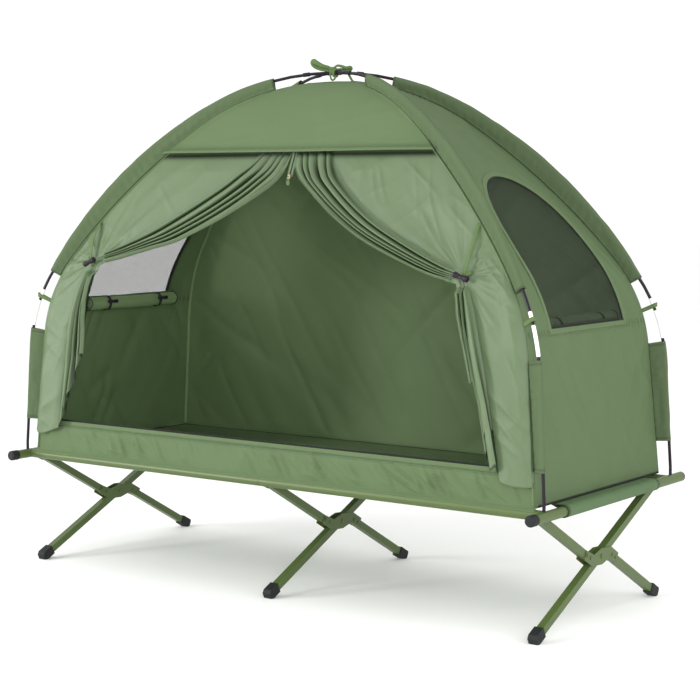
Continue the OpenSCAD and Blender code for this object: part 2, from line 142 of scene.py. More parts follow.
RIDGE = chain(TOP, RIDGE_BENDS, ((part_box("rear_wall")[1].x + 0.003) / ALONG, FOOT))
POLE = chain(POLE_TOP, POLE_BENDS, (BAR_X / ALONG, BAR_Z))


def ridge_s(z):
    return np.interp(-np.asarray(z, float), -RIDGE[:, 1], RIDGE[:, 0])


def pole_s(z):
    return np.interp(-np.asarray(z, float), -POLE[:, 1], POLE[:, 0])


def half_x(z):
    return ridge_s(z) * ALONG


def half_y(z):
    return ridge_s(z) * ACROSS


def steepness(f, z):
    """How fast f changes with height."""
    return (f(z + 0.004) - f(z - 0.004)) / 0.008


def levels(low, high, n):
    """n heights evenly spaced along the ridge, from low to high."""
    zs = np.linspace(low, high, 400)
    run = np.concatenate([[0], np.cumsum(np.hypot(np.diff(zs), np.diff(ridge_s(zs))))])
    return np.interp(np.linspace(0, run[-1], n), run, zs)


# ---------- noise and wrinkles ----------


def lattice(i, j, seed):
    """A fixed pseudo-random number from 0 to 1 for each pair of whole numbers."""
    h = (i * 374761393 + j * 668265263 + seed * 362437) & 0xFFFFFFFF
    h = ((h ^ (h >> 13)) * 1274126177) & 0xFFFFFFFF
    return ((h ^ (h >> 16)) & 0xFFFF) / 65535.0


def noise(x, y, seed=1):
    """Smooth noise from -1 to 1, one feature per unit."""
    x, y = np.asarray(x, float), np.asarray(y, float)
    i, j = np.floor(x).astype(np.int64), np.floor(y).astype(np.int64)
    u, v = x - i, y - j
    u, v = u * u * (3 - 2 * u), v * v * (3 - 2 * v)
    low = lattice(i, j, seed) * (1 - u) + lattice(i + 1, j, seed) * u
    high = lattice(i, j + 1, seed) * (1 - u) + lattice(i + 1, j + 1, seed) * u
    return 2 * (low * (1 - v) + high * v) - 1


def creases(x, y, angle, long, wide, seed):
    """Long soft creases that run at an angle, from 0 to 1 at their crests."""
    a = math.radians(angle)
    along = (x * math.cos(a) + y * math.sin(a)) / long
    over = (-x * math.sin(a) + y * math.cos(a)) / wide
    bend = 0.35 * noise(along * 1.3, over * 0.4, seed + 5)
    crest = 1 - np.abs(noise(along, over + bend, seed))
    return crest**3 * (0.5 + 0.5 * noise(along * 0.7 + 9, over * 0.5, seed + 11))


def fan(x, y, centre, count, reach, seed, start=0.0):
    """Pull lines that spread from a point and fade with distance."""
    dx, dy = x - centre[0], y - centre[1]
    r = np.hypot(dx, dy)
    turn = np.arctan2(dy, dx)
    wave = noise(turn * count, 0.3 + 0 * r, seed) + 0.5 * noise(turn * count * 2.3, r * 4, seed + 3)
    rise = np.clip((r - start) / 0.03, 0, 1)
    return wave * np.exp(-((r / reach) ** 1.5)) * rise * np.clip(r / 0.06, 0, 1)


def pucker(gap, along, pitch, reach, seed):
    """Small gathers beside a seam: gap is the distance from it."""
    wave = np.sin(2 * math.pi * along / pitch + 2.2 * noise(along / pitch / 2, gap / 0.2, seed))
    return wave * (0.6 + 0.4 * noise(along / pitch / 3, 0.5 + 0 * along, seed + 2)) * np.exp(-gap / reach)


def channel(gap, wide):
    """A stitched groove: 1 at its middle, 0 beyond its width."""
    return np.exp(-((gap / wide) ** 2))


# ---------- curves ----------


def resample(points, n):
    """n points evenly spaced along a line of points."""
    points = np.asarray(points, float)
    run = np.concatenate([[0], np.cumsum(np.linalg.norm(np.diff(points, axis=0), axis=1))])
    at = np.linspace(0, run[-1], n)
    return np.stack([np.interp(at, run, points[:, k]) for k in range(points.shape[1])], 1)


def smooth(points, n):
    """n points evenly spaced along a soft curve through the given points."""
    p = np.asarray(points, float)
    p = np.vstack([2 * p[0] - p[1], p, 2 * p[-1] - p[-2]])
    fine = []
    for k in range(1, len(p) - 2):
        t = np.linspace(0, 1, 24, endpoint=False)[:, None]
        a, b, c, d = p[k - 1], p[k], p[k + 1], p[k + 2]
        first = (c - a) * t
        second = (2 * a - 5 * b + 4 * c - d) * t**2
        third = (3 * b - a - 3 * c + d) * t**3
        fine.append(0.5 * (2 * b + first + second + third))
    return resample(np.vstack([*fine, p[-2][None]]), n)


def frames(path):
    """Unit tangent, side and up vectors along a path, turning as little as possible."""
    way = np.gradient(path, axis=0)
    way /= np.linalg.norm(way, axis=1)[:, None]
    start = np.array([0, 0, 1.0]) if abs(way[0][2]) < 0.9 else np.array([1.0, 0, 0])
    side = [np.cross(start, way[0])]
    for k in range(len(path)):
        s = side[-1] - way[k] * np.dot(side[-1], way[k])
        side.append(s / np.linalg.norm(s))
    side = np.array(side[1:])
    return way, side, np.cross(way, side)


# ---------- meshes ----------


def make_mesh(name, points, faces, look, uv=None, shade=None):
    """A smooth mesh object. uv is one pair per vertex, in metres along the cloth."""
    mesh = bpy.data.meshes.new(name)
    mesh.from_pydata([tuple(p) for p in points], [], [tuple(f) for f in faces])
    mesh.polygons.foreach_set("use_smooth", [True] * len(mesh.polygons))
    index = np.zeros(len(mesh.loops), np.int32)
    mesh.loops.foreach_get("vertex_index", index)
    if uv is not None:
        layer = mesh.uv_layers.new(name="weave")
        layer.data.foreach_set("uv", np.asarray(uv, np.float32)[index].ravel())
    # shade is stored as the 'tone' attribute, which the cloth materials use as painted shade
    if shade is not None:
        tone = mesh.attributes.new("tone", "FLOAT", "POINT")
        tone.data.foreach_set("value", np.asarray(shade, np.float32).ravel())
    mesh.update()
    obj = bpy.data.objects.new(name, mesh)
    scene.collection.objects.link(obj)
    if look is not None:
        obj.data.materials.append(LOOK[look])
    return obj


def grid_faces(n, m, wrap_n=False, wrap_m=False):
    """Quads over an n by m grid of points."""
    rows = n if wrap_n else n - 1
    cols = m if wrap_m else m - 1
    i, j = np.meshgrid(np.arange(rows), np.arange(cols), indexing="ij")
    i2, j2 = (i + 1) % n, (j + 1) % m
    return np.stack([i * m + j, i2 * m + j, i2 * m + j2, i * m + j2], -1).reshape(-1, 4)


def grid(name, points, look, uv=None, thick=CLOTH, wrap_n=False, wrap_m=False, shade=None, flip=False):
    """A cloth sheet over an n by m by 3 array of points."""
    n, m = points.shape[:2]
    if uv is None:
        du = np.linalg.norm(np.diff(points, axis=0), axis=2).mean(1)
        dv = np.linalg.norm(np.diff(points, axis=1), axis=2).mean(0)
        u = np.concatenate([[0], np.cumsum(du)])
        v = np.concatenate([[0], np.cumsum(dv)])
        uv = np.stack(np.meshgrid(u, v, indexing="ij"), -1)
    faces = grid_faces(n, m, wrap_n, wrap_m)
    if flip:
        faces = faces[:, ::-1]
    tone = None if shade is None else shade.reshape(-1)
    obj = make_mesh(name, points.reshape(-1, 3), faces, look, uv.reshape(-1, 2), tone)
    if thick:
        layer = obj.modifiers.new("thickness", "SOLIDIFY")
        layer.thickness = thick
        layer.offset = 0
    return obj


def tube(name, path, radius, look, sides=12, flat=1.0, ends=True, up=None):
    """A round or flattened tube along a path. radius may change along it."""
    path = np.asarray(path, float)
    way, side, over = frames(path)
    if up is not None:
        over = np.array(up, float)[None] - way * (way @ np.array(up, float))[:, None]
        over /= np.linalg.norm(over, axis=1)[:, None]
        side = np.cross(over, way)
    radius = np.broadcast_to(np.asarray(radius, float), (len(path),))
    turn = np.linspace(0, 2 * math.pi, sides, endpoint=False)
    ring = side[:, None] * np.cos(turn)[None, :, None] + flat * over[:, None] * np.sin(turn)[None, :, None]
    points = path[:, None] + radius[:, None, None] * ring
    n = len(path)
    faces = [tuple(f) for f in grid_faces(n, sides, False, True)[:, ::-1]]
    if ends:
        faces.append(tuple(range(sides)))
        faces.append(tuple((n - 1) * sides + k for k in reversed(range(sides))))
    run = np.concatenate([[0], np.cumsum(np.linalg.norm(np.diff(path, axis=0), axis=1))])
    uv = np.stack(np.meshgrid(run, turn * float(radius.mean()), indexing="ij"), -1).reshape(-1, 2)
    return make_mesh(name, points.reshape(-1, 3), faces, look, uv)


def ribbon(name, path, width, across, look, thick=0.0012, cup=0.0, sides=5):
    """A flat strap along a path, width across the given direction (one per point or one for all)."""
    path = np.asarray(path, float)
    across = np.broadcast_to(np.asarray(across, float), path.shape)
    way = np.gradient(path, axis=0)
    way /= np.linalg.norm(way, axis=1)[:, None]
    across = across - way * (across * way).sum(1)[:, None]
    across = across / np.linalg.norm(across, axis=1)[:, None]
    out = np.cross(way, across)
    k = np.linspace(-1, 1, sides)
    points = path[:, None] + across[:, None] * (0.5 * width * k)[None, :, None]
    points = points + out[:, None] * (cup * (1 - k**2))[None, :, None]
    return grid(name, points, look, thick=thick)


def lathe(name, profile, origin, axis, look, sides=32):
    """A turned piece: profile is (distance along the axis, radius) pairs."""
    axis = np.array(axis, float) / np.linalg.norm(axis)
    other = np.array([0, 0, 1.0]) if abs(axis[2]) < 0.9 else np.array([1.0, 0, 0])
    a = np.cross(axis, other)
    a /= np.linalg.norm(a)
    b = np.cross(axis, a)
    turn = np.linspace(0, 2 * math.pi, sides, endpoint=False)
    ring = a * np.cos(turn)[:, None] + b * np.sin(turn)[:, None]
    points = [np.array(origin) + axis * t + ring * r for t, r in profile]
    points = np.array(points)
    n = len(profile)
    faces = [tuple(f) for f in grid_faces(n, sides, False, True)]
    faces.append(tuple(reversed(range(sides))))
    faces.append(tuple((n - 1) * sides + k for k in range(sides)))
    return make_mesh(name, points.reshape(-1, 3), faces, look)


def join(name, parts):
    """One object out of several."""
    bpy.ops.object.select_all(action="DESELECT")
    for p in parts:
        for m in list(p.modifiers):
            bpy.context.view_layer.objects.active = p
            bpy.ops.object.modifier_apply(modifier=m.name)
    for p in parts:
        p.select_set(True)
    bpy.context.view_layer.objects.active = parts[0]
    if len(parts) > 1:
        bpy.ops.object.join()
    parts[0].name = name
    return parts[0]


def stand_for(piece, body, slot, *nodes):
    """Ties a piece to its body, and hides the CAD nodes that it stands for. slot is not used."""
    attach(piece, body)
    if nodes:
        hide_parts(*nodes)
    return piece


def cut(piece):
    """Returns the piece unchanged. Declares a folded or wrapped sheet by its own developed size.
    Its area test then can't fail.
    """
    return piece


# Stitches are gathered here and made into one mesh per body and look at the end
STITCHES = {}


def stitch(line, out, body="tent", pitch=0.0065, size=0.0045, fat=0.0006, tone="thread"):
    """A row of thread dashes along a line. out is the way the cloth faces, one vector or one per point."""
    line = np.asarray(line, float)
    run = np.concatenate([[0], np.cumsum(np.linalg.norm(np.diff(line, axis=0), axis=1))])
    at = np.arange(pitch, run[-1] - pitch, pitch)
    if len(at) < 2:
        return
    out = np.broadcast_to(np.asarray(out, float), line.shape)
    mid = np.stack([np.interp(at, run, line[:, k]) for k in range(3)], 1)
    face = np.stack([np.interp(at, run, out[:, k]) for k in range(3)], 1)
    ahead = np.stack([np.interp(at + 0.001, run, line[:, k]) for k in range(3)], 1) - mid
    ahead /= np.linalg.norm(ahead, axis=1)[:, None] + 1e-12
    side = np.cross(face, ahead)
    side /= np.linalg.norm(side, axis=1)[:, None] + 1e-12
    face = np.cross(ahead, side)
    points, faces = STITCHES.setdefault((body, tone), ([], []))
    for p, w, s, f in zip(mid, ahead, side, face):
        b = len(points)
        points.extend(p + w * size * 0.5 * e for e in (-1, 1))
        for e in (-0.55, 0.55):
            points.extend([p + w * size * 0.5 * e + s * fat, p + w * size * 0.5 * e + f * fat * 1.6,
                           p + w * size * 0.5 * e - s * fat, p + w * size * 0.5 * e - f * fat])
        for k in range(4):
            k2 = (k + 1) % 4
            faces.append((b, b + 2 + k2, b + 2 + k))
            faces.append((b + 2 + k, b + 2 + k2, b + 6 + k2, b + 6 + k))
            faces.append((b + 6 + k, b + 6 + k2, b + 1))


# ---------- materials ----------


class Nodes:
    """Short names for building one material's node tree."""

    def __init__(self, name):
        self.mat = bpy.data.materials.new(name)
        self.mat.use_nodes = True
        self.tree = self.mat.node_tree
        self.shader = self.tree.nodes["Principled BSDF"]
        self.out = self.tree.nodes["Material Output"]
        LOOK[name] = self.mat

    def add(self, kind, links=None, **values):
        node = self.tree.nodes.new(kind)
        for key, value in values.items():
            if hasattr(node, key):
                setattr(node, key, value)
            else:
                node.inputs[key.replace("_", " ")].default_value = value
        for key, value in (links or {}).items():
            self.tree.links.new(value, node.inputs[key])
        return node

    def link(self, a, socket):
        self.tree.links.new(a, self.shader.inputs[socket])

    def math(self, kind, a, b=None, clamp=False):
        node = self.tree.nodes.new("ShaderNodeMath")
        node.operation = kind
        node.use_clamp = clamp
        for k, value in enumerate((a, b)):
            if value is None:
                continue
            if isinstance(value, (int, float)):
                node.inputs[k].default_value = value
            else:
                self.tree.links.new(value, node.inputs[k])
        return node.outputs[0]

    def mix(self, factor, a, b):
        node = self.tree.nodes.new("ShaderNodeMix")
        node.data_type = "RGBA"
        for socket, value in ((node.inputs[0], factor), (node.inputs[6], a), (node.inputs[7], b)):
            if isinstance(value, (int, float)):
                socket.default_value = value
            elif isinstance(value, tuple):
                socket.default_value = (*value, 1)
            else:
                self.tree.links.new(value, socket)
        return node.outputs[2]

    def set(self, **values):
        for key, value in values.items():
            self.shader.inputs[key.replace("_", " ")].default_value = value


def scaled(colour, k):
    return tuple(min(1.0, c * k) for c in colour)


def cloth_look(name, colour, rough=0.72, sheen=0.25, thread=0.00055, weave=0.10, bump=0.25, coat=0.0,
               glow=0.0, worn=0.06):
    """Plain-woven cloth: crossed threads, a coarser check of stronger threads, and soft mottling."""
    m = Nodes(name)
    uv = m.add("ShaderNodeUVMap", uv_map="weave").outputs[0]
    xyz = m.add("ShaderNodeSeparateXYZ", {0: uv})
    place = m.add("ShaderNodeTexCoord").outputs["Object"]
    u = m.math("MULTIPLY", xyz.outputs[0], 2 * math.pi / (2 * thread))
    v = m.math("MULTIPLY", xyz.outputs[1], 2 * math.pi / (2 * thread))
    over = m.math("MULTIPLY", m.math("SINE", u), m.math("SINE", v))
    mottle = m.add("ShaderNodeTexNoise", {"Vector": place}, Scale=9.0, Detail=4.0, Roughness=0.6)
    slub = m.add("ShaderNodeTexNoise", {"Vector": place}, Scale=140.0, Detail=3.0, Roughness=0.7)
    soft = m.mix(mottle.outputs[0], scaled(colour, 1 - worn), scaled(colour, 1 + worn))
    grain = m.math("ADD", m.math("MULTIPLY", over, weave), m.math("MULTIPLY", slub.outputs[0], 0.5 * weave))
    grain = m.math("ADD", grain, 0.1, clamp=True)
    # Painted shade: the mesh's 'tone' attribute darkens the colour towards near-black and takes the sheen
    # away, mostly in fold valleys, stitched grooves and under the roof's lip
    tone = m.add("ShaderNodeAttribute", attribute_name="tone").outputs["Fac"]
    base = m.mix(grain, soft, scaled(colour, 0.55))
    base = m.mix(tone, base, scaled(colour, 0.05))
    m.link(base, "Base Color")
    m.link(m.math("ADD", m.math("MULTIPLY", slub.outputs[0], 0.12), rough - 0.06), "Roughness")
    height = m.math("ADD", m.math("MULTIPLY", over, 0.6), slub.outputs[0])
    lift = m.add("ShaderNodeBump", {"Height": height}, Strength=bump, Distance=0.0004)
    m.link(lift.outputs[0], "Normal")
    m.link(m.math("MULTIPLY", m.math("SUBTRACT", 1.0, tone), sheen), "Sheen Weight")
    m.set(Sheen_Roughness=0.5, Specular_IOR_Level=0.3)
    m.shader.inputs["Sheen Tint"].default_value = (*scaled(colour, 2.2), 1)
    if coat:
        m.set(Coat_Weight=coat, Coat_Roughness=0.45)
    if glow:
        through = m.add("ShaderNodeBsdfTranslucent", {"Color": base})
        both = m.add("ShaderNodeMixShader", {1: m.shader.outputs[0], 2: through.outputs[0]})
        both.inputs[0].default_value = glow
        m.tree.links.new(both.outputs[0], m.out.inputs[0])
    return m.mat


def paint_look(name, colour, rough=0.38):
    """Satin powder paint on steel: fine orange peel, broad mottling and faint rubbed spots."""
    m = Nodes(name)
    place = m.add("ShaderNodeTexCoord").outputs["Object"]
    broad = m.add("ShaderNodeTexNoise", {"Vector": place}, Scale=6.0, Detail=5.0, Roughness=0.6)
    peel = m.add("ShaderNodeTexNoise", {"Vector": place}, Scale=900.0, Detail=2.0)
    rub = m.add("ShaderNodeTexNoise", {"Vector": place}, Scale=38.0, Detail=8.0, Roughness=0.75)
    spot = m.math("MULTIPLY", m.math("GREATER_THAN", rub.outputs[0], 0.70), 0.35)
    base = m.mix(broad.outputs[0], scaled(colour, 0.88), scaled(colour, 1.10))
    base = m.mix(spot, base, scaled(colour, 1.5))
    m.link(base, "Base Color")
    m.link(m.math("ADD", m.math("MULTIPLY", broad.outputs[0], 0.18), rough - 0.08), "Roughness")
    lift = m.add("ShaderNodeBump", {"Height": peel.outputs[0]}, Strength=0.12, Distance=0.0003)
    m.link(lift.outputs[0], "Normal")
    m.set(Metallic=0.0, Specular_IOR_Level=0.3, Coat_Weight=0.04, Coat_Roughness=0.3)
    return m.mat


def plastic_look(name, colour, rough=0.5, grain=300.0, bump=0.25):
    """Moulded plastic with a fine spark-eroded grain and slight bloom."""
    m = Nodes(name)
    place = m.add("ShaderNodeTexCoord").outputs["Object"]
    fine = m.add("ShaderNodeTexNoise", {"Vector": place}, Scale=grain, Detail=3.0)
    broad = m.add("ShaderNodeTexNoise", {"Vector": place}, Scale=22.0, Detail=4.0)
    base = m.mix(broad.outputs[0], scaled(colour, 0.8), scaled(colour, 1.3))
    m.link(base, "Base Color")
    m.link(m.math("ADD", m.math("MULTIPLY", broad.outputs[0], 0.2), rough - 0.1), "Roughness")
    m.set(Specular_IOR_Level=0.18)
    lift = m.add("ShaderNodeBump", {"Height": fine.outputs[0]}, Strength=bump, Distance=0.0004)
    m.link(lift.outputs[0], "Normal")
    return m.mat


def rod_look(name, colour, rough):
    """Glass-fibre rod: faint lengthwise strands under a glossy skin."""
    m = Nodes(name)
    place = m.add("ShaderNodeTexCoord").outputs["Object"]
    strand = m.add("ShaderNodeTexNoise", {"Vector": place}, Scale=420.0, Detail=4.0, Roughness=0.8)
    base = m.mix(strand.outputs[0], scaled(colour, 0.75), scaled(colour, 1.25))
    m.link(base, "Base Color")
    m.link(m.math("ADD", m.math("MULTIPLY", strand.outputs[0], 0.12), rough), "Roughness")
    m.set(Coat_Weight=0.03, Coat_Roughness=0.2, Specular_IOR_Level=0.12)
    lift = m.add("ShaderNodeBump", {"Height": strand.outputs[0]}, Strength=0.15, Distance=0.0003)
    m.link(lift.outputs[0], "Normal")
    return m.mat


def metal_look(name, colour, rough):
    """Bare drawn metal with fine scratches."""
    m = Nodes(name)
    place = m.add("ShaderNodeTexCoord").outputs["Object"]
    drawn = m.add("ShaderNodeMapping", {"Vector": place})
    drawn.inputs["Scale"].default_value = (12, 900, 900)
    fine = m.add("ShaderNodeTexNoise", {"Vector": drawn.outputs[0]}, Scale=1.0, Detail=5.0)
    base = m.mix(fine.outputs[0], scaled(colour, 0.8), scaled(colour, 1.1))
    m.link(base, "Base Color")
    m.link(m.math("ADD", m.math("MULTIPLY", fine.outputs[0], 0.2), rough - 0.1), "Roughness")
    m.set(Metallic=1.0)
    return m.mat


def net_look(name, colour, pitch=0.0016, cover=0.62):
    """Fine insect net: threads in two directions with holes between them."""
    m = Nodes(name)
    uv = m.add("ShaderNodeUVMap", uv_map="weave").outputs[0]
    xyz = m.add("ShaderNodeSeparateXYZ", {0: uv})
    gap = math.sqrt(1 - cover)
    holes = []
    for k in (0, 1):
        step = m.math("FRACT", m.math("MULTIPLY", xyz.outputs[k], 1 / pitch))
        holes.append(m.math("LESS_THAN", step, gap))
    hole = m.math("MULTIPLY", holes[0], holes[1])
    place = m.add("ShaderNodeTexCoord").outputs["Object"]
    mottle = m.add("ShaderNodeTexNoise", {"Vector": place}, Scale=14.0, Detail=3.0)
    base = m.mix(mottle.outputs[0], scaled(colour, 0.94), scaled(colour, 1.06))
    m.link(base, "Base Color")
    m.set(Roughness=0.8, Specular_IOR_Level=0.15)
    clear = m.add("ShaderNodeBsdfTransparent")
    both = m.add("ShaderNodeMixShader", {0: hole, 1: m.shader.outputs[0], 2: clear.outputs[0]})
    m.tree.links.new(both.outputs[0], m.out.inputs[0])
    return m.mat


TENT_GREEN = (0.160, 0.238, 0.112)
cloth_look("tent_cloth", TENT_GREEN, sheen=0.2, glow=0.42)
cloth_look("end_cloth", (0.148, 0.218, 0.106), sheen=0.15, glow=0.42)
cloth_look("curtain_cloth", (0.112, 0.165, 0.082), rough=0.36, sheen=0.2, glow=0.14, coat=0.08)
cloth_look("sleeve_cloth", scaled(TENT_GREEN, 0.66), sheen=0.15, glow=0.30)
cloth_look("roll_cloth", (0.170, 0.252, 0.118), sheen=0.2, glow=0.10)
cloth_look("bed_cloth", (0.078, 0.134, 0.058), sheen=0.08, thread=0.0009, weave=0.2, bump=0.4)
cloth_look("webbing", (0.088, 0.145, 0.050), rough=0.8, thread=0.0012, weave=0.3, bump=0.6)
cloth_look("dark_webbing", (0.016, 0.020, 0.015), rough=0.8, sheen=0, thread=0.0012, weave=0.3, bump=0.6)
# Near-black; the sill tape and the end walls' foot lines made of it are painted shadow lines
cloth_look("piping", (0.010, 0.011, 0.010), rough=0.8, sheen=0, thread=0.0008, weave=0.2, bump=0.4)
cloth_look("thread", (0.175, 0.250, 0.130), rough=0.7, thread=0.0003, weave=0.2, bump=0.2)
paint_look("green_paint", (0.068, 0.104, 0.028))
plastic_look("black_plastic", (0.014, 0.016, 0.016), rough=0.6)
plastic_look("toggle_plastic", (0.016, 0.010, 0.018), rough=0.45)
rod_look("black_rod", (0.016, 0.012, 0.018), 0.3)
rod_look("white_rod", (0.80, 0.80, 0.79), 0.25)
metal_look("bare_steel", (0.6, 0.6, 0.6), 0.35)
metal_look("zip_metal", (0.50, 0.40, 0.26), 0.4)
net_look("window_net", (0.013, 0.015, 0.013), cover=0.60)

# ---------- floor of the studio ----------

floor_mat = Nodes("studio_floor")
floor_mat.set(Roughness=0.9, Specular_IOR_Level=0.1)
floor_mat.shader.inputs["Base Color"].default_value = (0.94, 0.94, 0.93, 1)
floor = make_mesh("studio_floor", [(-30, -30, 0), (30, -30, 0), (30, 30, 0), (-30, 30, 0)], [(0, 1, 2, 3)],
                  "studio_floor")

# ---------- CAD nodes that stay: better materials, and eased edges ----------

HARD_SLOTS = ("green_paint", "black_plastic", "bare_steel", "black_rod", "white_rod", "toggle_plastic",
              "zip_metal")
for entry in frame["record"]["subparts"]:
    slot = entry.get("material_slot")
    if slot in HARD_SLOTS and entry["node"] in frame["nodes"]:
        node = frame["nodes"][entry["node"]]
        node.data.materials.clear()
        node.data.materials.append(LOOK[slot])

for name in ("front_feet", "rear_feet", "cross_plates_left", "cross_plates_middle", "cross_plates_right",
             "front_hinge_ears", "rear_hinge_ears"):
    ease = frame["nodes"][name].modifiers.new("eased edges", "BEVEL")
    ease.width = 0.0025 if "feet" in name else 0.0006
    ease.segments = 3
    ease.limit_method = "ANGLE"
    ease.angle_limit = math.radians(40)

# ---------- tent panels ----------


def edge_gap(x, z):
    """Distance from the nearer ridge seam, measured along the panel."""
    return half_x(z) - np.abs(x)


def lay(side, x, z, lift):
    """Points of the front (side -1) or rear (side 1) face, lifted outwards from it."""
    slope = steepness(half_y, z)
    size = np.sqrt(1 + slope**2)
    y = side * (half_y(z) + lift / size)
    return np.stack([x, y, z - slope * lift / size], -1)


def long_panel(low, high, nx, nz, inset=0.0004):
    """Grid of x and z over a long side's panel."""
    z = levels(low, high, nz)
    k = np.linspace(-1, 1, nx)
    z2, k2 = np.meshgrid(z, k, indexing="ij")
    return k2 * (half_x(z2) - inset), z2


# Rear wall, with the soft diagonal creases that show through the door
x, z = long_panel(FOOT, PANEL_TOP, 200, 150)
smooth_wall = lay(1, x, z, -0.001)
wall_lift = (0.006 * noise(x * 2.2, z * 2.6, 3)
             + 0.0190 * creases(x, z, -38, 0.55, 0.085, 21)
             + 0.0170 * creases(x, z, 42, 0.6, 0.09, 33)
             + 0.0100 * creases(x, z, -62, 0.35, 0.05, 41)
             + 0.0014 * pucker(edge_gap(x, z), z, 0.032, 0.03, 7))
hold = np.clip(edge_gap(x, z) / 0.05, 0, 1) * np.clip((z - FOOT) / 0.03, 0, 1)
hold = hold * np.clip((TOP - z) / 0.06, 0, 1)
rear = grid("rear_wall_cloth", lay(1, x, z, -0.0012 + wall_lift * hold - 0.004 * hold), "tent_cloth")
stand_for(rear, "tent", "tent_fabric", "rear_wall")

# Roof front: a lip along its lower edge with a double row of stitching above it
x, z = long_panel(HEM, PANEL_TOP, 170, 90)
rise = (TOP - z) / (TOP - HEM)
drop = np.hypot(z - HEM, half_y(HEM) - half_y(z))
smooth_roof = lay(-1, x, z, 0.006 * rise)
roof_lift = (0.003 * noise(x * 3, z * 5, 13)
             + 0.0022 * creases(x, z, 8, 0.30, 0.05, 17)
             + 0.0013 * pucker(edge_gap(x, z), z, 0.025, 0.03, 19)
             + 0.0009 * pucker(np.abs(drop - 0.012), x, 0.03, 0.02, 23))
hold = np.clip(edge_gap(x, z) / 0.04, 0, 1) * np.clip((TOP - z) / 0.06, 0, 1)
roof_lift = (roof_lift * hold + 0.0125 * np.exp(-((drop / 0.020) ** 2)) + 0.0014 * (drop < 0.012)
             - 0.0016 * channel(drop - 0.0135, 0.0022))
# painted shade along the two rows of stitching above the lip
seam_groove_shade = 0.5 * channel(drop - 0.0135, 0.002) + 0.35 * channel(drop - 0.021, 0.0016)
roof = grid("roof_front_cloth", lay(-1, x, z, 0.006 * rise - 0.0008 + roof_lift), "tent_cloth",
            shade=seam_groove_shade, flip=True)
stand_for(roof, "tent", "tent_fabric", "roof_front")
edge_x = np.linspace(-half_x(HEM + 0.013) + 0.01, half_x(HEM + 0.013) - 0.01, 80)
for off in (0.013, 0.020):
    zz = np.full_like(edge_x, HEM + off)
    stitch(lay(-1, edge_x, zz, 0.0070), (0, -1, 0.5))

# Crown: the small patch where the four panels meet under the hub
k, m = np.meshgrid(np.linspace(-1, 1, 40), np.linspace(-1, 1, 24), indexing="ij")
crown_z = PANEL_TOP + 0.0032 * (1 - k**2) * (1 - m**2)
crown = grid("roof_crown_cloth", np.stack([k * half_x(TOP - 0.0045), m * half_y(TOP - 0.0045), crown_z], -1),
             "tent_cloth")
stand_for(crown, "tent", "tent_fabric", "roof_crown")

# Front sill: slanting wrinkles, a turned hem along the top, and a skirt that hangs over its foot
SKIRT = 0.0085
x, z = long_panel(FOOT, SILL, 420, 56)
z = FOOT - SKIRT + (z - FOOT) * (SILL - FOOT + SKIRT) / (SILL - FOOT)
skirt = 0.0095 * np.clip((FOOT + 0.001 - z) / (SKIRT + 0.001), 0, 1)
smooth_sill = lay(-1, x, z, skirt)
lean = creases(x, z, -58, 0.14, 0.021, 51) + 0.7 * creases(x, z, -34, 0.16, 0.024, 57)
sill_lift = (0.0125 * lean + 0.003 * noise(x * 5, z * 9, 53)
             + 0.0012 * pucker(SILL - 0.012 - z, x, 0.022, 0.02, 59))
hold = np.clip((z - FOOT) / 0.02, 0, 1) * np.clip((SILL - 0.006 - z) / 0.03, 0, 1) * np.clip(
    edge_gap(x, z) / 0.03, 0, 1)
sill_lift = sill_lift * hold + 0.0014 * (z > SILL - 0.012) - 0.0014 * channel(z - SILL + 0.0135, 0.002)
# painted shade along the two rows of stitching under the hem
seam_groove_shade = 0.45 * channel(z - SILL + 0.0135, 0.002) + 0.3 * channel(z - SILL + 0.019, 0.0015)
sill = grid("front_sill_cloth", lay(-1, x, z, skirt - 0.0012 + sill_lift), "tent_cloth",
            shade=seam_groove_shade, flip=True)
stand_for(sill, "tent", "tent_fabric", "front_sill")
edge_x = np.linspace(-half_x(SILL) + 0.01, half_x(SILL) - 0.01, 120)
for off in (0.0125, 0.019):
    stitch(lay(-1, edge_x, np.full_like(edge_x, SILL - off), 0.0008), (0, -1, 0))

# A thin near-black tape bound along the inside of the sill's top edge: a painted shadow line behind the edge
edge_x = np.linspace(-0.86, 0.86, 160)
edge_y = (np.full_like(edge_x, -float(half_y(SILL)) + 0.0035)
          + 0.0008 * noise(edge_x * 9, 0.5 + 0 * edge_x, 63))
edge_z = SILL + 0.0022 + 0.0006 * noise(edge_x * 7, 0.5 + 0 * edge_x, 65)
tape = ribbon("sill_shadow_tape", np.stack([edge_x, edge_y, edge_z], 1), 0.0048, (0, 0, 1), "piping", thick=0.0012)
stand_for(tape, "tent", "green_webbing")

# Tent floor, with its dark bound edge
LOW_Z = 0.36
k, m = np.meshgrid(np.linspace(-1, 1, 200), np.linspace(-1, 1, 80), indexing="ij")
fx, fy = k * (half_x(LOW_Z) - 0.006), m * (half_y(LOW_Z) - 0.006)
floor_gap = np.minimum(half_x(LOW_Z) - np.abs(fx), half_y(LOW_Z) - np.abs(fy))
floor_z = 0.3578 + 0.0022 * np.clip(floor_gap / 0.05, 0, 1) * (
    creases(fx, fy, 15, 0.3, 0.06, 61) + creases(fx, fy, -50, 0.25, 0.05, 67))
ground = grid("tent_floor_cloth", np.stack([fx, fy, floor_z], -1), "end_cloth",
              shade=0.75 * (floor_gap < 0.022))
stand_for(ground, "tent", "end_fabric", "tent_floor")

# ---------- end walls with their windows ----------


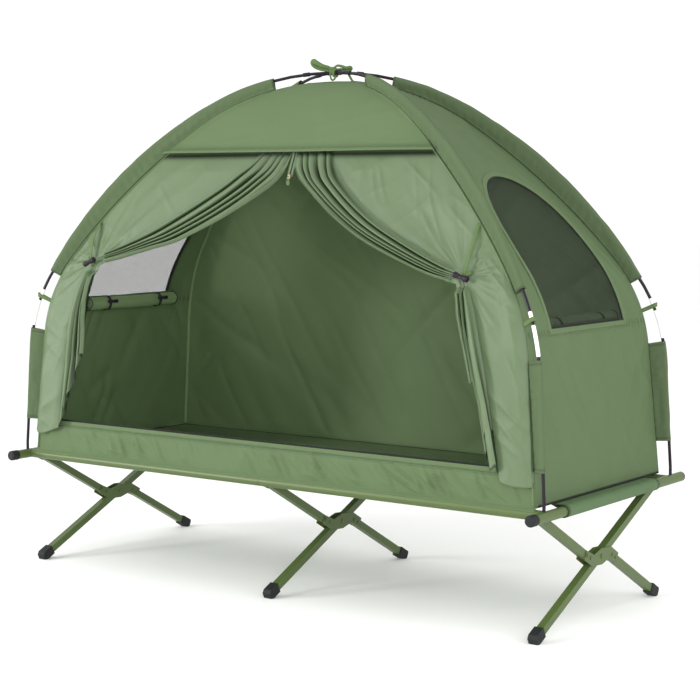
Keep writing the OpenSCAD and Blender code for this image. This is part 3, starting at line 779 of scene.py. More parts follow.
def outline_window(n, grow=0.0):
    """The window's outline as (y, z), from its lower right corner round over the top."""
    t = np.sin(np.linspace(0, math.pi / 2, n))
    w = WINDOW_HALF * np.sqrt(np.clip(1 - t**4, 0, 1)) * (1 + grow / WINDOW_HALF)
    high = WINDOW_HIGH - WINDOW_LOW + 2 * grow
    z = WINDOW_LOW - grow + high * t
    right = np.stack([w, z], 1)
    left = np.stack([-w, z], 1)[::-1]
    arch = np.vstack([right, left[1:]])
    base = np.stack([np.linspace(arch[-1, 0], arch[0, 0], 60), np.full(60, WINDOW_LOW - grow)], 1)
    return np.vstack([arch, base[1:-1]])


def outline_wall(n):
    """The end wall's outline as (y, z)."""
    z = np.linspace(FOOT, PANEL_TOP, n)
    right = np.stack([half_y(z) - 0.0004, z], 1)
    left = np.stack([-half_y(z) + 0.0004, z], 1)[::-1]
    top = np.stack([np.linspace(right[-1, 0], left[0, 0], 30), np.full(30, PANEL_TOP)], 1)
    base = np.stack([np.linspace(left[-1, 0], right[0, 0], 200), np.full(200, FOOT)], 1)
    return np.vstack([right, top[1:-1], left, base[1:-1]])


MID = np.array([0.0, 0.97])


def reach_of(outline, turn):
    """Distance of a star-shaped outline from MID along each direction."""
    d = outline - MID
    a = np.arctan2(d[:, 1], d[:, 0])
    order = np.argsort(a)
    return np.interp(turn, a[order], np.hypot(d[:, 0], d[:, 1])[order], period=2 * math.pi)


def end_points(side, y, z, lift):
    """Points of an end wall, lifted outwards from it."""
    slope = steepness(half_x, z)
    size = np.sqrt(1 + slope**2)
    return np.stack([side * (half_x(z) + lift / size), y, z - slope * lift / size], -1)


def corners_of(picks):
    """Directions of the given points, seen from MID."""
    d = np.array(picks) - MID
    return np.arctan2(d[:, 1], d[:, 0])


SEAM_Z = 0.795
for side, word in ((-1, "left"), (1, "right")):
    win, wall = outline_window(120), outline_wall(160)
    turn = np.linspace(-math.pi, math.pi, 240, endpoint=False)
    foot_half = float(half_y(FOOT)) - 0.0004
    top_half = float(half_y(PANEL_TOP))
    exact = corners_of([(WINDOW_HALF, WINDOW_LOW), (-WINDOW_HALF, WINDOW_LOW), (foot_half, FOOT),
                        (-foot_half, FOOT), (top_half, PANEL_TOP), (-top_half, PANEL_TOP)])
    turn = np.sort(np.concatenate([turn, exact]))
    q = np.linspace(0, 1, 56) ** 1.15
    inner, outer = reach_of(win, turn), reach_of(wall, turn)
    r = inner[None] + (outer - inner)[None] * q[:, None]
    y = MID[0] + r * np.cos(turn)[None]
    z = MID[1] + r * np.sin(turn)[None]
    gap = half_y(z) - np.abs(y)
    frame_gap = r - inner[None]
    plain = end_points(side, y, z, 0)
    lift = (0.004 * noise(y * 5, z * 4, 71 + side) + 0.0120 * creases(y, z, 62, 0.30, 0.05, 73 + side)
            + 0.0120 * creases(y, z, -58, 0.32, 0.055, 79 + side)
            + 0.0014 * pucker(gap, z, 0.026, 0.03, 83)
            + 0.0010 * pucker(frame_gap, turn[None] * 0.2, 0.02, 0.02, 89))
    hold = np.clip(gap / 0.04, 0, 1) * np.clip(frame_gap / 0.03, 0, 1) * np.clip((z - FOOT) / 0.03, 0, 1)
    lift = lift * hold - 0.0018 * channel(z - SEAM_Z, 0.0022) - 0.0012 * channel(z - SEAM_Z + 0.009, 0.0018)
    # tone: painted shade in the two stitched grooves across the wall
    tone = 0.4 * channel(z - SEAM_Z, 0.0024) + 0.25 * channel(z - SEAM_Z + 0.009, 0.002)
    wall_obj = grid(f"{word}_end_cloth", end_points(side, y, z, -0.0012 + lift), "end_cloth", wrap_m=True,
                    uv=np.stack([y, z], -1), shade=tone, flip=side > 0)
    stand_for(wall_obj, "tent", "end_fabric", f"{word}_end_wall")
    # near-black tube where the wall meets the tent's floor: a painted shadow line
    foot_y = np.linspace(-half_y(FOOT) + 0.012, half_y(FOOT) - 0.012, 60)
    foot_line = end_points(side, foot_y, np.full_like(foot_y, FOOT + 0.0030), 0.0018)
    seam = tube(f"{word}_foot_shadow_line", foot_line, 0.0027, "piping", sides=8)
    stand_for(seam, "tent", "green_webbing")
    line_y = np.linspace(-half_y(SEAM_Z) + 0.01, half_y(SEAM_Z) - 0.01, 60)
    for off in (0.0, 0.009):
        stitch(end_points(side, line_y, np.full_like(line_y, SEAM_Z - off), 0.0006), (side, 0, 0))

    # the net sheet, a little slack in its frame
    qn = np.linspace(0.0, 1, 26)
    rn = (inner[None] + 0.006) * qn[:, None]
    yn, zn = rn * np.cos(turn)[None], MID[1] + rn * np.sin(turn)[None]
    slack = 0.003 * (1 - qn[:, None] ** 2) * (1 + 0.5 * noise(yn * 12, zn * 12, 91))
    net_points = end_points(side, yn, zn, -0.0025 - slack)
    net = grid(f"{word}_window_net", net_points, "window_net", wrap_m=True, uv=np.stack([yn, zn], -1),
               thick=0, flip=side > 0)
    stand_for(net, "tent", "window_net", f"{word}_window_mesh")

    # binding round the window: a bound tape and a dark cord along its inside
    loop = outline_window(90, 0.004)
    loop = resample(np.vstack([loop, loop[:1]]), 260)[:-1]
    way = np.roll(loop, -1, 0) - np.roll(loop, 1, 0)
    way /= np.linalg.norm(way, axis=1)[:, None]
    off = np.stack([way[:, 1], -way[:, 0]], 1)
    ks = np.linspace(-1, 1, 7)
    tape = loop[:, None] + off[:, None] * (0.0065 * ks)[None, :, None]
    bulge = 0.0014 * (1 - ks**4)[None] + 0.0005 * noise(np.arange(len(loop)) / 4, 0.5, 97)[:, None]
    band = grid(f"{word}_window_binding", end_points(side, tape[..., 0], tape[..., 1], 0.0004 + bulge),
                "tent_cloth", wrap_n=True, flip=side < 0)
    stand_for(band, "tent", "end_fabric")
    cordline = loop - off * 0.0085
    ring = end_points(side, cordline[:, 0], cordline[:, 1], 0.0)
    ring = np.vstack([ring, ring[:1]])
    pipe = tube(f"{word}_window_piping", ring, 0.0021, "piping", sides=8)
    stand_for(pipe, "tent", "green_webbing")
    for gap_off in (-0.0045, 0.0045):
        line = loop + off * gap_off
        stitch(end_points(side, line[:, 0], line[:, 1], 0.0022), (side, 0, 0.2), pitch=0.005, size=0.0036)

# ---------- sleeves along the poles ----------


def in_corner(sx, sy, s, z, b):
    """Points in a corner's upright plane, moved b sideways out of it."""
    ux, uy = sx * ALONG, sy * ACROSS
    return np.stack([s * ux + b * uy * sx * sy * -1, s * uy + b * ux * sx * sy, z], -1)


def sleeve_points(sx, sy, low, high, n, bag, tight, seed):
    """A folded band of cloth: sewn to the ridge, round the pole, and back. bag is how puffy it is."""
    path = resample(POLE, 3000)
    path = path[(path[:, 1] >= low) & (path[:, 1] <= high)]
    path = resample(path, n)
    way = np.gradient(path, axis=0)
    way /= np.linalg.norm(way, axis=1)[:, None]
    inward = np.stack([way[:, 1], -way[:, 0]], 1)
    inward *= np.sign((inward * np.array([-1.0, -0.6])).sum(1))[:, None]
    # where a line straight in from the pole meets the ridge
    depth = np.zeros(n)
    for k in range(n):
        d = np.linspace(0.01, 0.09, 161)
        probe = path[k][None] + inward[k][None] * d[:, None]
        inside = probe[:, 0] <= ridge_s(np.minimum(probe[:, 1], TOP - 0.0005)) - 0.0005
        inside |= probe[:, 1] > TOP
        hit = np.argmax(inside & (probe[:, 1] < TOP))
        depth[k] = d[hit] if inside.any() else 0.05
    run = np.concatenate([[0], np.cumsum(np.linalg.norm(np.diff(path, axis=0), axis=1))])
    half = np.concatenate([np.linspace(0, 1, 13), 1 + np.linspace(0, 1, 9)[1:]])
    rows = []
    for side in (1, -1):
        order = half if side > 0 else half[::-1][1:]
        for h in order:
            if h <= 1:
                e = 1 - h  # 1 at the ridge, 0 at the pole's centre
                d = depth * e
                wide = tight + (bag - tight) * np.sin(math.pi * np.clip(1 - e, 0, 1) / 2) ** 1.3
                gather = pucker(np.zeros(n), run + 0.012 * h, 0.030, 1, seed + 5) * 0.0013
                gather = gather * math.sin(math.pi * min(h + 0.1, 1))
                ripple = 0.0016 * noise(run / 0.05, np.full(n, h * 2.2), seed)
                b = side * (wide + gather + ripple * math.sin(math.pi * min(h, 0.98)))
            else:
                a = (h - 1) * math.pi / 2
                d = -bag * math.sin(a) * np.ones(n)
                b = side * bag * math.cos(a) * (1 + 0.10 * noise(run / 0.03, np.full(n, h * 3), seed + 1))
                d = d * (1 + 0.12 * noise(run / 0.035, np.full(n, h), seed + 2))
            p = path + inward * d[:, None]
            rows.append(in_corner(sx, sy, p[:, 0], p[:, 1], b))
    return np.stack(rows, 0), path, inward, depth


CORNERS = ((-1, -1, "front_left"), (1, -1, "front_right"), (-1, 1, "rear_left"), (1, 1, "rear_right"))
for sx, sy, word in CORNERS:
    seed = 101 + 7 * sx + 3 * sy
    points, path, inward, depth = sleeve_points(sx, sy, 0.912, 1.486, 220, 0.0079, 0.0014, seed)
    # painted shade along the sleeve's sewn edges and at its two ends
    tone = np.zeros(points.shape[:2])
    tone[:1], tone[-1:] = 0.5, 0.5
    tone[:, :2], tone[:, -2:] = 0.35, 0.35
    sleeve = grid(f"sleeve_{word}_cloth", points, "sleeve_cloth", thick=0.0011, shade=tone, flip=sx * sy < 0)
    stand_for(sleeve, "tent", "tent_fabric", f"sleeve_{word}")
    cut(sleeve)
    for b in (-1, 1):
        p = path + inward * (depth - 0.006)[:, None]
        stitch(in_corner(sx, sy, p[:, 0], p[:, 1], np.full(len(p), b * 0.0034)),
               np.array([b * -ACROSS * sy, b * ALONG * sx * sy * sy, 0.0]), pitch=0.007)

# Bound seams inside the four corners, with a dark edge on the rear ones
seam_z = levels(FOOT + 0.004, TOP - 0.03, 160)
for sx, sy, word in CORNERS:
    across = in_corner(sx, sy, 0, 0, 1) - in_corner(sx, sy, 0, 0, 0)
    line = in_corner(sx, sy, ridge_s(seam_z) - 0.0052, seam_z, 0)
    seam = ribbon(f"seam_{word}", line, 0.013, across, "roll_cloth", thick=0.0011, cup=0.0012 * sx * sy)
    stand_for(seam, "tent", "end_fabric")
    if sy > 0:
        low_part = line[seam_z < 0.86] + across * 0.0062
        stand_for(tube(f"seam_edge_{word}", low_part, 0.0013, "piping", sides=6), "tent", "green_webbing")

# Corner pockets: flat flaps with the pole in their outer edge
pockets = []
for sx, sy, word in CORNERS:
    seed = 131 + sx + 2 * sy
    points = sleeve_points(sx, sy, 0.450, 0.735, 90, 0.0064, 0.0012, seed)[0]
    tone = np.zeros(points.shape[:2])
    tone[:, 2:4] = 0.3
    tone[:, -4:-2] = 0.3
    pockets.append(grid(f"pocket_{word}", points, "sleeve_cloth", thick=0.0011, shade=tone,
                        flip=sx * sy < 0))
    stand_for(pockets[-1], "tent", "tent_fabric")
    cut(pockets[-1])
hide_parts("corner_pockets")

# Pale joint sleeves on the poles, in two lengths with the webbing loop's place between them
strap_z = 0.5 * (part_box("strap_loops")[0].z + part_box("strap_loops")[1].z)
joint_low, joint_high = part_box("pole_ferrules")[0].z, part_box("pole_ferrules")[1].z
fine_pole = resample(POLE, 3000)
joints = []
for sx, sy, word in CORNERS:
    for first, last in ((joint_low, strap_z - 0.004), (strap_z + 0.006, joint_high)):
        path = fine_pole[(fine_pole[:, 1] >= first) & (fine_pole[:, 1] <= last)]
        path = resample(path, 24)
        radius = np.full(24, ROD + 0.0007)
        radius[[0, -1]] = ROD + 0.0002
        line = in_corner(sx, sy, path[:, 0], path[:, 1], 0)
        joints.append(tube(f"pole_joint_{word}_{len(joints)}", line, radius, "white_rod", sides=24))
joint_piece = join("pole_joint_sleeves", joints)
stand_for(joint_piece, "tent", "white_rod", "pole_ferrules")

# Webbing loops round the poles, above the pockets
LOOP_R = 0.0068
s_in, s_out = float(ridge_s(strap_z)), float(pole_s(strap_z))
s_mid = s_in + 0.4 * (s_out - s_in)
around = [(s_out + LOOP_R * math.cos(a), LOOP_R * math.sin(a))
          for a in np.linspace(-0.5 * math.pi, 0.5 * math.pi, 14)]
line = smooth([(s_in - 0.001, -0.0016), (s_mid, -0.003), *around, (s_mid, 0.003), (s_in - 0.001, 0.0016)], 46)
loops = []
for sx, sy, word in CORNERS:
    strap = in_corner(sx, sy, line[:, 0], strap_z - 0.006 + 0.45 * (line[:, 0] - s_in), line[:, 1])
    loops.append(ribbon(f"strap_loop_{word}", strap, 0.0115, (0, 0, 1), "webbing", thick=0.0011))
    stand_for(loops[-1], "tent", "green_webbing")
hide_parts("strap_loops")

# ---------- curtains ----------

CREST = 0.029  # height of the pleats


def bend_of(w, phase):
    """Uneven spacing of the pleats."""
    quick = 0.045 * np.sin(2 * math.pi * (1.4 * w + phase))
    slow = 0.03 * np.sin(2 * math.pi * (0.6 * w + 0.3 * phase))
    return w + quick + slow


def folds(w, count, seed, phase):
    """Rounded pleats across a gathered band, 0 to 1 high, and the painted shade of their sharp valleys, 0 to
    1. w runs from 0 to 1.
    """
    bent = bend_of(w, phase)
    wave = np.abs(np.sin(math.pi * count * bent))
    high = 0.82 + 0.18 * noise(np.floor(count * bent) + 0.5, 3.5 + 0 * w, seed)
    return wave**0.55 * high, np.clip(1 - wave / 0.70, 0, 1) ** 0.45


def curtain(side, upper, lower, tail, tie, count, seed):
    """Half of the door, gathered to its tie. upper and lower bound the pleats, tail is its bottom edge.

    Each point is (distance from the middle, height). Columns run from the ridge seam to the free edge."""
    n_up, n_down, n_flat, n_fold = 110, 110, 70, 130
    flat = np.linspace(0, 1, n_flat, endpoint=False)
    fold = np.linspace(0, 1, n_fold)
    rows, offs, dark = [], [], []
    up_line, low_line = smooth(upper, n_up), smooth(lower, n_up)
    ridge_z = levels(tie[2], HEM + 0.018, n_up)[::-1]
    for i in range(n_up):
        t = i / (n_up - 1)
        o = np.array([float(half_x(ridge_z[i])) - 0.005, ridge_z[i]])
        u, l = up_line[i], low_line[i]
        # the band runs straight from its upper line to its lower one
        left = o[None] + (u - o)[None] * flat[:, None]
        # the band bows a little, so that the folds sweep in curves
        right = u[None] + (l - u)[None] * fold[:, None]
        rows.append(np.vstack([left, right]))
        swell = 0.22 + 0.78 * min(1.0, t / 0.16)
        pinch = 1 - 0.25 * max(0.0, (t - 0.8) / 0.2)
        high, valley_shade = folds(fold, count, seed, 0.35 * t)
        crest = CREST * swell * pinch * high
        dark.append(np.concatenate([np.zeros(n_flat), valley_shade * min(1.0, t / 0.12)]))
        pitch = np.linalg.norm(l - u) / count
        lean = 0.55 * pitch * min(1.0, t / 0.2) * (crest / CREST) ** 2
        across = (l - u) / (np.linalg.norm(l - u) + 1e-9)
        rows[-1][n_flat:] += across[None] * lean[:, None] * np.clip((1 - fold) * 6, 0, 1)[:, None]
        body = 0.0035 * min(1, t / 0.2) * np.clip(flat / 0.9, 0, 1) ** 3
        offs.append(np.concatenate([body, 0.0035 * min(1, t / 0.2) + crest]))
    gather = rows[-1].copy()
    # below the tie: straight down the ridge seam on one side, hanging folds on the other
    edge = smooth(tail, n_flat + n_fold)
    ws = np.concatenate([0.30 * flat, 0.30 + 0.70 * fold])
    run = np.linspace(0, 1, n_flat + n_fold)
    tx = np.interp(ws, run, edge[:, 0])
    tz = np.interp(ws, run, edge[:, 1])
    # each pleat ends in a slanting edge of its own, so that the hem steps down in points
    step = (count * bend_of(fold, 0.60)) % 1
    step = np.where(step < 0.84, step, (1 - step) / 0.16 * 0.84)
    tz[n_flat:] -= 0.024 * (step - 0.40)
    tx[n_flat:] += 0.010 * (step - 0.40)
    for i in range(n_down):
        t = (i + 1) / n_down
        ease = t**0.8
        z = gather[:, 1] + (tz - gather[:, 1]) * t
        straight = gather[:, 0] + (tx - gather[:, 0]) * ease
        # near the ridge seam the cloth follows the seam's curve
        gap = (1 - ease) * (half_x(gather[:, 1]) - gather[:, 0]) + ease * (half_x(tz) - tx)
        follow = np.clip(1 - ws / 0.42, 0, 1) ** 0.7
        x = follow * (half_x(z) - gap) + (1 - follow) * straight
        x = np.minimum(x, half_x(z) - 0.0015)
        rows.append(np.stack([x, z], 1))
        high, valley_shade = folds(fold, count, seed, 0.35 + 0.25 * t)
        crest = CREST * (0.75 + 0.35 * math.sin(math.pi * min(1, t * 1.4)) - 0.15 * t) * high
        dark.append(np.concatenate([np.zeros(n_flat), valley_shade]))
        body = 0.0035 + 0.011 * np.clip(t * 3, 0, 1)
        soft = 0.004 * noise(flat * 2.5, np.full(n_flat, t * 1.2), seed + 4) * np.clip(flat * 3, 0, 1)
        offs.append(np.concatenate([body * np.clip(flat / 0.25, 0, 1) ** 0.7 + soft, body + crest]))
    pos, off = np.array(rows), np.array(offs)
    x, z = pos[..., 0], pos[..., 1]
    centre = (tie[0], tie[2])
    pull = fan(x, z, centre, 6, 0.30, seed + 6, 0.02) * 0.0058
    droop = (0.006 * noise(x * 5, z * 5, seed + 7)
             + 0.007 * creases(x, z, -40, 0.22, 0.040, seed + 8)
             + 0.006 * creases(x, z, -68, 0.16, 0.034, seed + 12)
             + 0.005 * creases(x, z, 35, 0.2, 0.05, seed + 14))
    zone = np.zeros(x.shape)
    zone[:, :n_flat] = np.sin(np.linspace(0, math.pi, n_flat)) ** 0.6
    off = off + (pull + droop * 0.8) * zone * np.clip((HEM - z) / 0.05, 0, 1)
    off[:, n_flat:] += 0.0012 * noise(fold[None] * 9, np.arange(len(pos))[:, None] / 9, seed + 9)
    # the cloth stays clear of the toggle's sweep
    clear = 0.0085 + 1.1 * np.maximum(0, np.hypot(x - tie[0], z - tie[2]) - 0.034)
    off = np.minimum(off, clear)
    points = lay(-1, side * x, z, off)
    # painted shade: near-black in the pleats' valleys, none on the free edge (a flat bound tape), darker on
    # the pleated tail's last two rows, and a painted shadow under the roof's lip
    tone = 0.96 * np.array(dark)
    tone[:, -3:] = 0.0
    tone[-2:, n_flat:] = 0.7
    tone = np.maximum(tone, 0.95 * np.exp(-(((HEM - 0.001 - z) / 0.0095) ** 2)))
    return points, tone


RIGHT = {
    "upper": [(0.130, HEM + 0.018), (0.165, 1.215), (0.235, 1.150), (0.346, 1.075), (0.476, 1.012),
              (0.600, 0.960), (0.655, 0.945)],
    "lower": [(0.003, HEM + 0.010), (0.030, 1.212), (0.110, 1.150), (0.200, 1.088), (0.300, 1.032),
              (0.410, 0.986), (0.550, 0.938), (0.640, 0.920)],
    "tail": [(0.904, 0.424), (0.887, 0.408), (0.804, 0.414), (0.796, 0.455), (0.768, 0.464),
             (0.750, 0.618), (0.732, 0.634), (0.720, 0.664), (0.703, 0.675)],
    "tie": (0.652, -0.33, 0.940),
}
LEFT = {
    "upper": [(0.110, HEM + 0.018), (0.150, 1.225), (0.230, 1.165), (0.346, 1.095), (0.460, 1.034),
              (0.572, 0.988), (0.668, 0.958)],
    "lower": [(0.003, HEM + 0.010), (0.025, 1.200), (0.090, 1.140), (0.214, 1.066), (0.347, 1.007),
              (0.440, 0.982), (0.560, 0.952), (0.652, 0.936)],
    "tail": [(0.902, 0.424), (0.870, 0.406), (0.790, 0.431), (0.768, 0.459), (0.756, 0.509),
             (0.722, 0.578), (0.704, 0.625), (0.690, 0.660), (0.680, 0.676)],
    "tie": (0.668, -0.33, 0.948),
}
PLEATS = 5.0
for side, word, shape, seed in ((-1, "left", LEFT, 151), (1, "right", RIGHT, 163)):
    points, tone = curtain(side, shape["upper"], shape["lower"], shape["tail"], shape["tie"], PLEATS, seed)
    cloth = grid(f"curtain_{word}_cloth", points, "curtain_cloth", thick=0.0008, shade=tone, flip=side < 0)
    stand_for(cloth, "tent", "curtain_fabric", f"curtain_{word}")
    # The area given is the drawn cloth's, not the cut's, which is about twice as large. It hides that the
    # gathers hold too little cloth: report.md says so under the flat sizes.
    # the free edge's bound tape, doubled cloth
    edge = points[:, -1]
    back = points[:, -3]
    width = back - edge
    width /= np.linalg.norm(width, axis=1)[:, None] + 1e-9
    tape = ribbon(f"curtain_{word}_edge", edge + width * 0.003 + np.array([0, -0.001, 0]), 0.013, width,
                  "curtain_cloth", thick=0.0012)
    stand_for(tape, "tent", "curtain_fabric")

# Tie straps from the ridge seams down to the toggles, and the bands round the gathered cloth
ties = []
TOGGLE_BOXES = {"left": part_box("door_toggle_left"), "right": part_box("door_toggle_right")}
for side, word, start_z in ((-1, "left", 1.065), (1, "right", 1.077)):
    low, high = TOGGLE_BOXES[word]
    centre = np.array([(low.x + high.x) / 2, (low.y + high.y) / 2, (low.z + high.z) / 2])
    start = np.array([side * (float(half_x(start_z)) - 0.008), -float(half_y(start_z)) - 0.004, start_z])
    mid = 0.5 * (start + centre) + np.array([side * 0.006, -0.004, 0.004])
    line = smooth([start, mid, centre + np.array([side * 0.004, 0.0110, 0.012]),
                   centre + np.array([0, 0.0112, -0.006])], 40)
    ties.append(ribbon(f"tie_strap_{word}", line, 0.009, (1, 0, -0.6 * side), "webbing", thick=0.0014))
    stand_for(ties[-1], "tent", "green_webbing")
    ring = []
    for a in np.linspace(0, 2 * math.pi, 40):
        ring.append(centre + np.array([side * 0.010 * math.sin(a) * 1.6 + side * 0.004,
                                       0.0222 - 0.0125 * math.cos(a), 0.012 * math.sin(a)]))
    ties.append(ribbon(f"tie_band_{word}", ring, 0.008, (side * -0.5, 0, 1), "webbing", thick=0.0013))
    stand_for(ties[-1], "tent", "green_webbing")
    cord_line = smooth([centre + np.array([0, 0.0085, 0]), centre + np.array([0, 0, 0]),
                        centre + np.array([0, -0.0085, 0])], 10)
    ties.append(tube(f"toggle_cord_{word}", cord_line, 0.0014, "webbing", sides=10))
    stand_for(ties[-1], "tent", "green_webbing")
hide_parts("curtain_ties")


# Half of a barrel toggle's outline, from its waist to its end, as shares of its half length and radius
BARREL = ((0.12, 0.66), (0.17, 0.74), (0.22, 0.80), (0.40, 0.84), (0.6, 0.93), (0.78, 1.0), (0.88, 0.97),
          (0.95, 0.80), (0.985, 0.55), (1.0, 0.30))


def toggle(node, tilt_axis, half, radius):
    """A turned barrel toggle with rounded flared ends and a waist for its cord."""
    low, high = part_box(node)
    centre = [(low[k] + high[k]) / 2 for k in range(3)]
    outline = [*((-t, r) for t, r in reversed(BARREL)), (0.0, 0.63), *BARREL]
    profile = [(t * half, r * radius) for t, r in outline]
    piece = lathe(f"{node}_barrel", profile, centre, tilt_axis, "toggle_plastic", sides=28)
    stand_for(piece, node, "toggle_plastic", node)


for word, tilt in (("left", math.radians(22)), ("right", math.radians(-17))):
    toggle(f"door_toggle_{word}", (math.cos(tilt), 0, math.sin(tilt)), 0.0235, 0.0085)
for word in ("front", "rear"):
    toggle(f"roll_toggle_{word}", (0, 1, 0), 0.020, 0.0062)

# ---------- rolled window flaps ----------

ROLL_STRAPS = (-0.118, 0.118)
for side, word in ((-1, "left"), (1, "right")):
    low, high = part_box(f"{word}_window_roll")
    cx, cz = 0.5 * (low.x + high.x), 0.5 * (low.z + high.z)
    radius = 0.5 * (high.z - low.z) - 0.001
    turns = 4.2
    a = np.linspace(0, 2 * math.pi * turns, 150)
    r = radius * (0.16 + 0.84 * a / a[-1])
    ys = np.linspace(low.y + 0.004, high.y - 0.004, 110)
    A, Y = np.meshgrid(a, ys, indexing="ij")
    R = r[:, None] * (1 + 0.05 * noise(Y * 16, A / 1.3, 171) * (A / a[-1]) + 0.02 * noise(Y * 50, A, 173))
    for ty in ROLL_STRAPS:
        R = R * (1 - 0.12 * np.exp(-(((Y - ty) / 0.012) ** 2)) * (A > a[-1] - 2 * math.pi - 1))
    sag = -0.002 * (1 - (Y / 0.24) ** 2)
    start = math.pi / 2
    spin = side * (A - a[-1]) + start
    points = np.stack([cx + R * np.cos(spin), Y + 0.0015 * np.sin(3 * A), cz + R * np.sin(spin) + sag], -1)
    roll = grid(f"{word}_roll_cloth", points, "roll_cloth", thick=0.0009)
    stand_for(roll, "tent", "end_fabric", f"{word}_window_roll")
    cut(roll)
    # a dark bound edge at both ends of the roll, on its outer turns
    for k, column in enumerate((points[70:, 1], points[70:, -2])):
        outward = column - np.array([cx, 0, cz])
        outward[:, 1] = 0
        outward /= np.linalg.norm(outward, axis=1)[:, None]
        line = column + outward * 0.0010
        stand_for(tube(f"{word}_roll_edge_{k}", line, 0.0016, "piping", sides=6), "tent", "green_webbing")
    # the flap's root, from the seam under the window to the roll
    rootrow = []
    for t in np.linspace(0, 1, 14):
        zz = WINDOW_LOW - 0.004 + (cz + radius - 0.002 - WINDOW_LOW) * math.sin(t * math.pi / 2)
        xx = side * (float(half_x(0.8)) - 0.004) + (cx - side * (float(half_x(0.8)) - 0.004)) * t
        rootrow.append(np.stack([np.full(60, xx), np.linspace(low.y + 0.03, high.y - 0.03, 60),
                                 zz + 0.0012 * noise(np.linspace(0, 12, 60), t * 2, 181)], 1))
    root = grid(f"{word}_roll_root", np.array(rootrow), "end_cloth", thick=0.0009)
    stand_for(root, "tent", "end_fabric")
    cut(root)
    for k, ty in enumerate(ROLL_STRAPS):
        out = radius + 0.0006
        ring = [np.array([cx + out * math.cos(b) * 0.96, ty, cz - 0.002 + out * math.sin(b)])
                for b in np.linspace(0, 2 * math.pi, 48)]
        band = ribbon(f"{word}_roll_strap_{k}", ring, 0.009, (0, 1, 0), "dark_webbing", thick=0.0011)
        stand_for(band, "tent", "green_webbing")
        if side < 0:
            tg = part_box(("roll_toggle_front", "roll_toggle_rear")[k])
            tc = np.array([(tg[0][j] + tg[1][j]) / 2 for j in range(3)])
            peg_line = [tc + np.array([e, 0, 0]) for e in (-0.009, -0.003, 0.003, 0.0068)]
            peg = tube(f"roll_cord_{k}", peg_line, 0.0014, "dark_webbing", sides=10)
            stand_for(peg, "tent", "green_webbing")
            if k == 0:
                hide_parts("roll_cords")

# ---------- top of the poles ----------

# Black ferrules where the hub's rods meet the poles, between two distances from the middle
FERRULE = (0.072, 0.092)
pick = POLE[(POLE[:, 0] > FERRULE[0]) & (POLE[:, 0] < FERRULE[1])]
ends = [np.array([s, np.interp(s, POLE[:, 0], POLE[:, 1])]) for s in FERRULE]
path = resample(np.vstack([ends[0][None], pick, ends[1][None]]), 14)
for sx, sy, word in CORNERS:
    line = in_corner(sx, sy, path[:, 0], path[:, 1], np.zeros(len(path)))
    stand_for(tube(f"ferrule_{word}", line, ROD + 0.0016, "black_rod", sides=20), "tent", "black_rod")

# The bow: a ribbon tied round the crossing, two loops, a knot and a short hanging loop of ribbon
KNOT = np.array([0.0, -0.004, POLE_TOP + 0.007])
BOW_SIDE = np.array([math.cos(TURN), math.sin(TURN), 0.0])
BOW_OUT = np.array([math.sin(TURN), -math.cos(TURN), 0.0])


def bow_line(points, n):
    """A soft line through (sideways, up, outwards) offsets from the knot."""
    return smooth([KNOT + BOW_SIDE * a + BOW_OUT * c + np.array([0, 0, b]) for a, b, c in points], n)


bow = []
loop_left = bow_line([(0, 0, 0.004), (-0.012, 0.008, 0.008), (-0.030, 0.0125, 0.010), (-0.047, 0.0215, 0.008),
                      (-0.0555, 0.0265, 0.004), (-0.0580, 0.0205, 0.000), (-0.0510, 0.0120, -0.002),
                      (-0.0350, 0.0045, -0.001), (-0.017, 0.0005, 0.001), (0, -0.003, 0.002)], 70)
loop_right = bow_line([(0, 0, 0.004), (0.012, 0.0125, 0.007), (0.026, 0.0115, 0.008), (0.040, 0.0065, 0.007),
                       (0.0510, 0.0085, 0.004), (0.0545, 0.0045, 0.000), (0.0480, 0.0000, -0.002),
                       (0.035, 0.0015, -0.001), (0.019, 0.0030, 0.001), (0.003, -0.002, 0.002)], 70)
hanging = bow_line([(-0.005, -0.002, 0.006), (-0.0065, -0.012, 0.008), (-0.005, -0.0235, 0.008),
                    (0.000, -0.0290, 0.008), (0.0065, -0.0245, 0.008), (0.0105, -0.014, 0.008),
                    (0.008, -0.004, 0.006)], 50)
for k, (line, r) in enumerate(((loop_left, 0.0058), (loop_right, 0.0040), (hanging, 0.0027))):
    n = len(line)
    swell = 1 - 0.25 * np.cos(np.linspace(0, 2 * math.pi, n)) * (k < 2)
    bow.append(tube(f"bow_{k}", line, r * swell, "webbing", sides=14, flat=0.75, up=tuple(BOW_OUT)))
knot_ring = [KNOT + BOW_SIDE * 0.0045 * math.cos(a) + BOW_OUT * 0.005 + np.array([0, 0, 0.0055 * math.sin(a)])
             for a in np.linspace(0, 2 * math.pi, 30)]
bow.append(tube("bow_knot", knot_ring, 0.0050, "webbing", sides=14, ends=False))
lash = [np.array([0.004 + 0.0005 * a, 0.0115 * math.sin(a), POLE_TOP + 0.0115 * math.cos(a)])
        for a in np.linspace(0, 4 * math.pi, 60)]
bow.append(tube("bow_lash", lash, 0.0032, "webbing", sides=10))
bow_piece = join("apex_bow_ribbon", bow)
stand_for(bow_piece, "tent", "green_webbing", "apex_bow")

# A short strap from the front right pole down to the roof
strap_line = smooth([(0.071, -0.027, POLE_TOP - 0.0035), (0.080, -0.031, POLE_TOP - 0.012),
                     (0.090, -0.035, POLE_TOP - 0.023), (0.098, -0.038, POLE_TOP - 0.030)], 16)
side_strap = ribbon("apex_side_strap", strap_line, 0.009, (0.3, 1, 0), "webbing", thick=0.0012)
stand_for(side_strap, "tent", "green_webbing")

# ---------- zip ----------

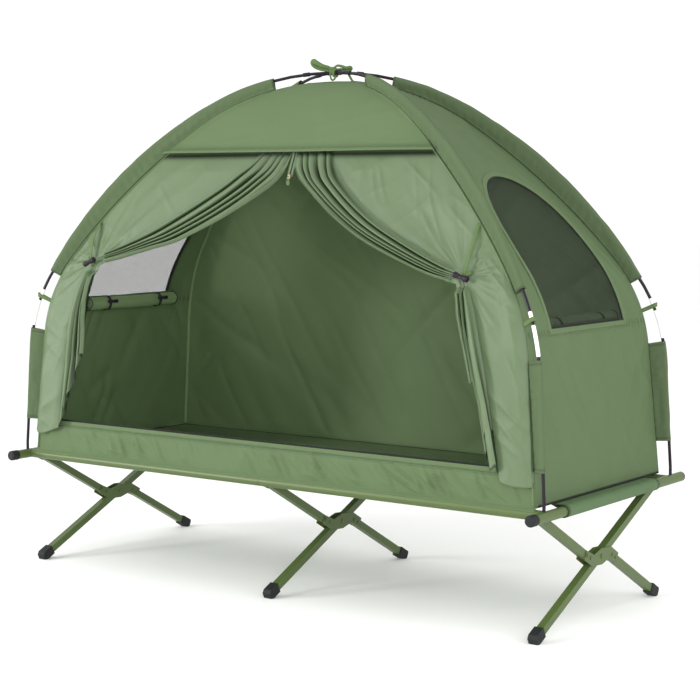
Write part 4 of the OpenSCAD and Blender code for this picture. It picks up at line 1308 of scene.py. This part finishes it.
pull_low, pull_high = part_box("zip_puller")
zip_x = 0.5 * (pull_low.x + pull_high.x)
zip_y = 0.5 * (pull_low.y + pull_high.y)
slider_z = pull_high.z - 0.005
zs = np.linspace(HEM + 0.004, slider_z - 0.002, 24)
ridge_front = lay(-1, np.full(24, zip_x), zs, 0.006)
tape = ribbon("zip_tape", ridge_front, 0.020, (1, 0, 0), "curtain_cloth", thick=0.001)
stand_for(tape, "tent", "curtain_fabric")
coil = []
for k in range(150):
    t = k / 149
    c = ridge_front[0] + (ridge_front[-1] - ridge_front[0]) * t
    a = k * 1.9
    coil.append(c + np.array([0.0022 * math.cos(a), -0.0016 + 0.0010 * math.sin(a), 0]))
coil = tube("zip_coil", coil, 0.0005, "dark_webbing", sides=5)
stand_for(coil, "tent", "green_webbing")
slider_shape = [(-0.009, 0.0015), (-0.008, 0.0042), (-0.003, 0.0050), (0.003, 0.0052), (0.007, 0.0040),
                (0.008, 0.0015)]
slider = lathe("zip_slider", slider_shape, (zip_x, zip_y + 0.006, slider_z + 0.001), (0, 0.35, 1),
               "zip_metal", sides=16)
stand_for(slider, "tent", "zip_metal")

# The pull: a loop of cord with a moulded grip near its lower end
pull_top = np.array([zip_x, zip_y, pull_high.z - 0.0022])
pull_end = np.array([zip_x, zip_y, pull_low.z + 0.0022])
span = pull_top[2] - pull_end[2]
half_loop = [(0.0, 0.0), (0.0022, 0.12), (0.0036, 0.45), (0.0048, 0.78), (0.0036, 0.95), (0.0, 1.0)]
loop = smooth([pull_top + np.array([x, 0, -span * t]) for x, t in half_loop]
              + [pull_top + np.array([-x, 0, -span * t]) for x, t in reversed(half_loop[1:-1])]
              + [pull_top], 60)
grip = [pull_top + np.array([0, -0.0002, -span * t]) for t in np.linspace(0.5, 0.96, 10)]
pull = join("zip_pull", [tube("pull_loop", loop, 0.0014, "webbing", sides=10),
                         ribbon("pull_grip", grip, 0.0075, (1, 0, 0), "webbing", thick=0.0016)])
stand_for(pull, "zip_puller", "zip_metal", "zip_puller")

# ---------- bed fabric ----------

wrap = BAR_R + 0.0012 + 0.0011
flat_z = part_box("bed_fabric")[1].z - 0.0005
low_y, high_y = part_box("bed_fabric")[0].y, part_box("bed_fabric")[1].y
ring = [(-BAR_X + wrap * math.sin(math.radians(a)), BAR_Z - wrap * math.cos(math.radians(a)))
        for a in np.linspace(115, -175, 40)]
inner = [(-BAR_X + 0.036, flat_z - 0.0006)]
left_part = [*inner, *ring, (-BAR_X + 0.010, flat_z + 0.0004), (-BAR_X + 0.040, flat_z)]
middle = [(v, flat_z) for v in np.linspace(-BAR_X + 0.06, BAR_X - 0.06, 90)]
right_part = [(-px, pz) for px, pz in reversed(left_part)]
line = np.array([*left_part, *middle, *right_part])
yk = np.linspace(low_y, high_y, 70)
base = np.zeros((len(line), len(yk), 3))
base[..., 0], base[..., 1], base[..., 2] = line[:, 0][:, None], yk[None], line[:, 1][:, None]
calm = np.clip((BAR_X - 0.05 - np.abs(base[..., 0])) / 0.05, 0, 1)
base[..., 2] += -0.0012 * calm * creases(base[..., 0], base[..., 1], 80, 0.3, 0.05, 191)
gap_y = np.minimum(base[..., 1] - low_y, high_y - base[..., 1])
bed = grid("bed_fabric_cloth", base, "bed_cloth", thick=0.0012, shade=0.55 * (gap_y < 0.008))
stand_for(bed, "cot_front", "bed_cloth", "bed_fabric")

# ---------- stitches into meshes ----------

for number, ((body, tone), (points, faces)) in enumerate(STITCHES.items()):
    rows = make_mesh(f"stitching_{number}", points, faces, tone,
                     uv=np.zeros((len(points), 2)))
    stand_for(rows, body, "tent_fabric")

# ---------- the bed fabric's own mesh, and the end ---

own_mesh(bed)
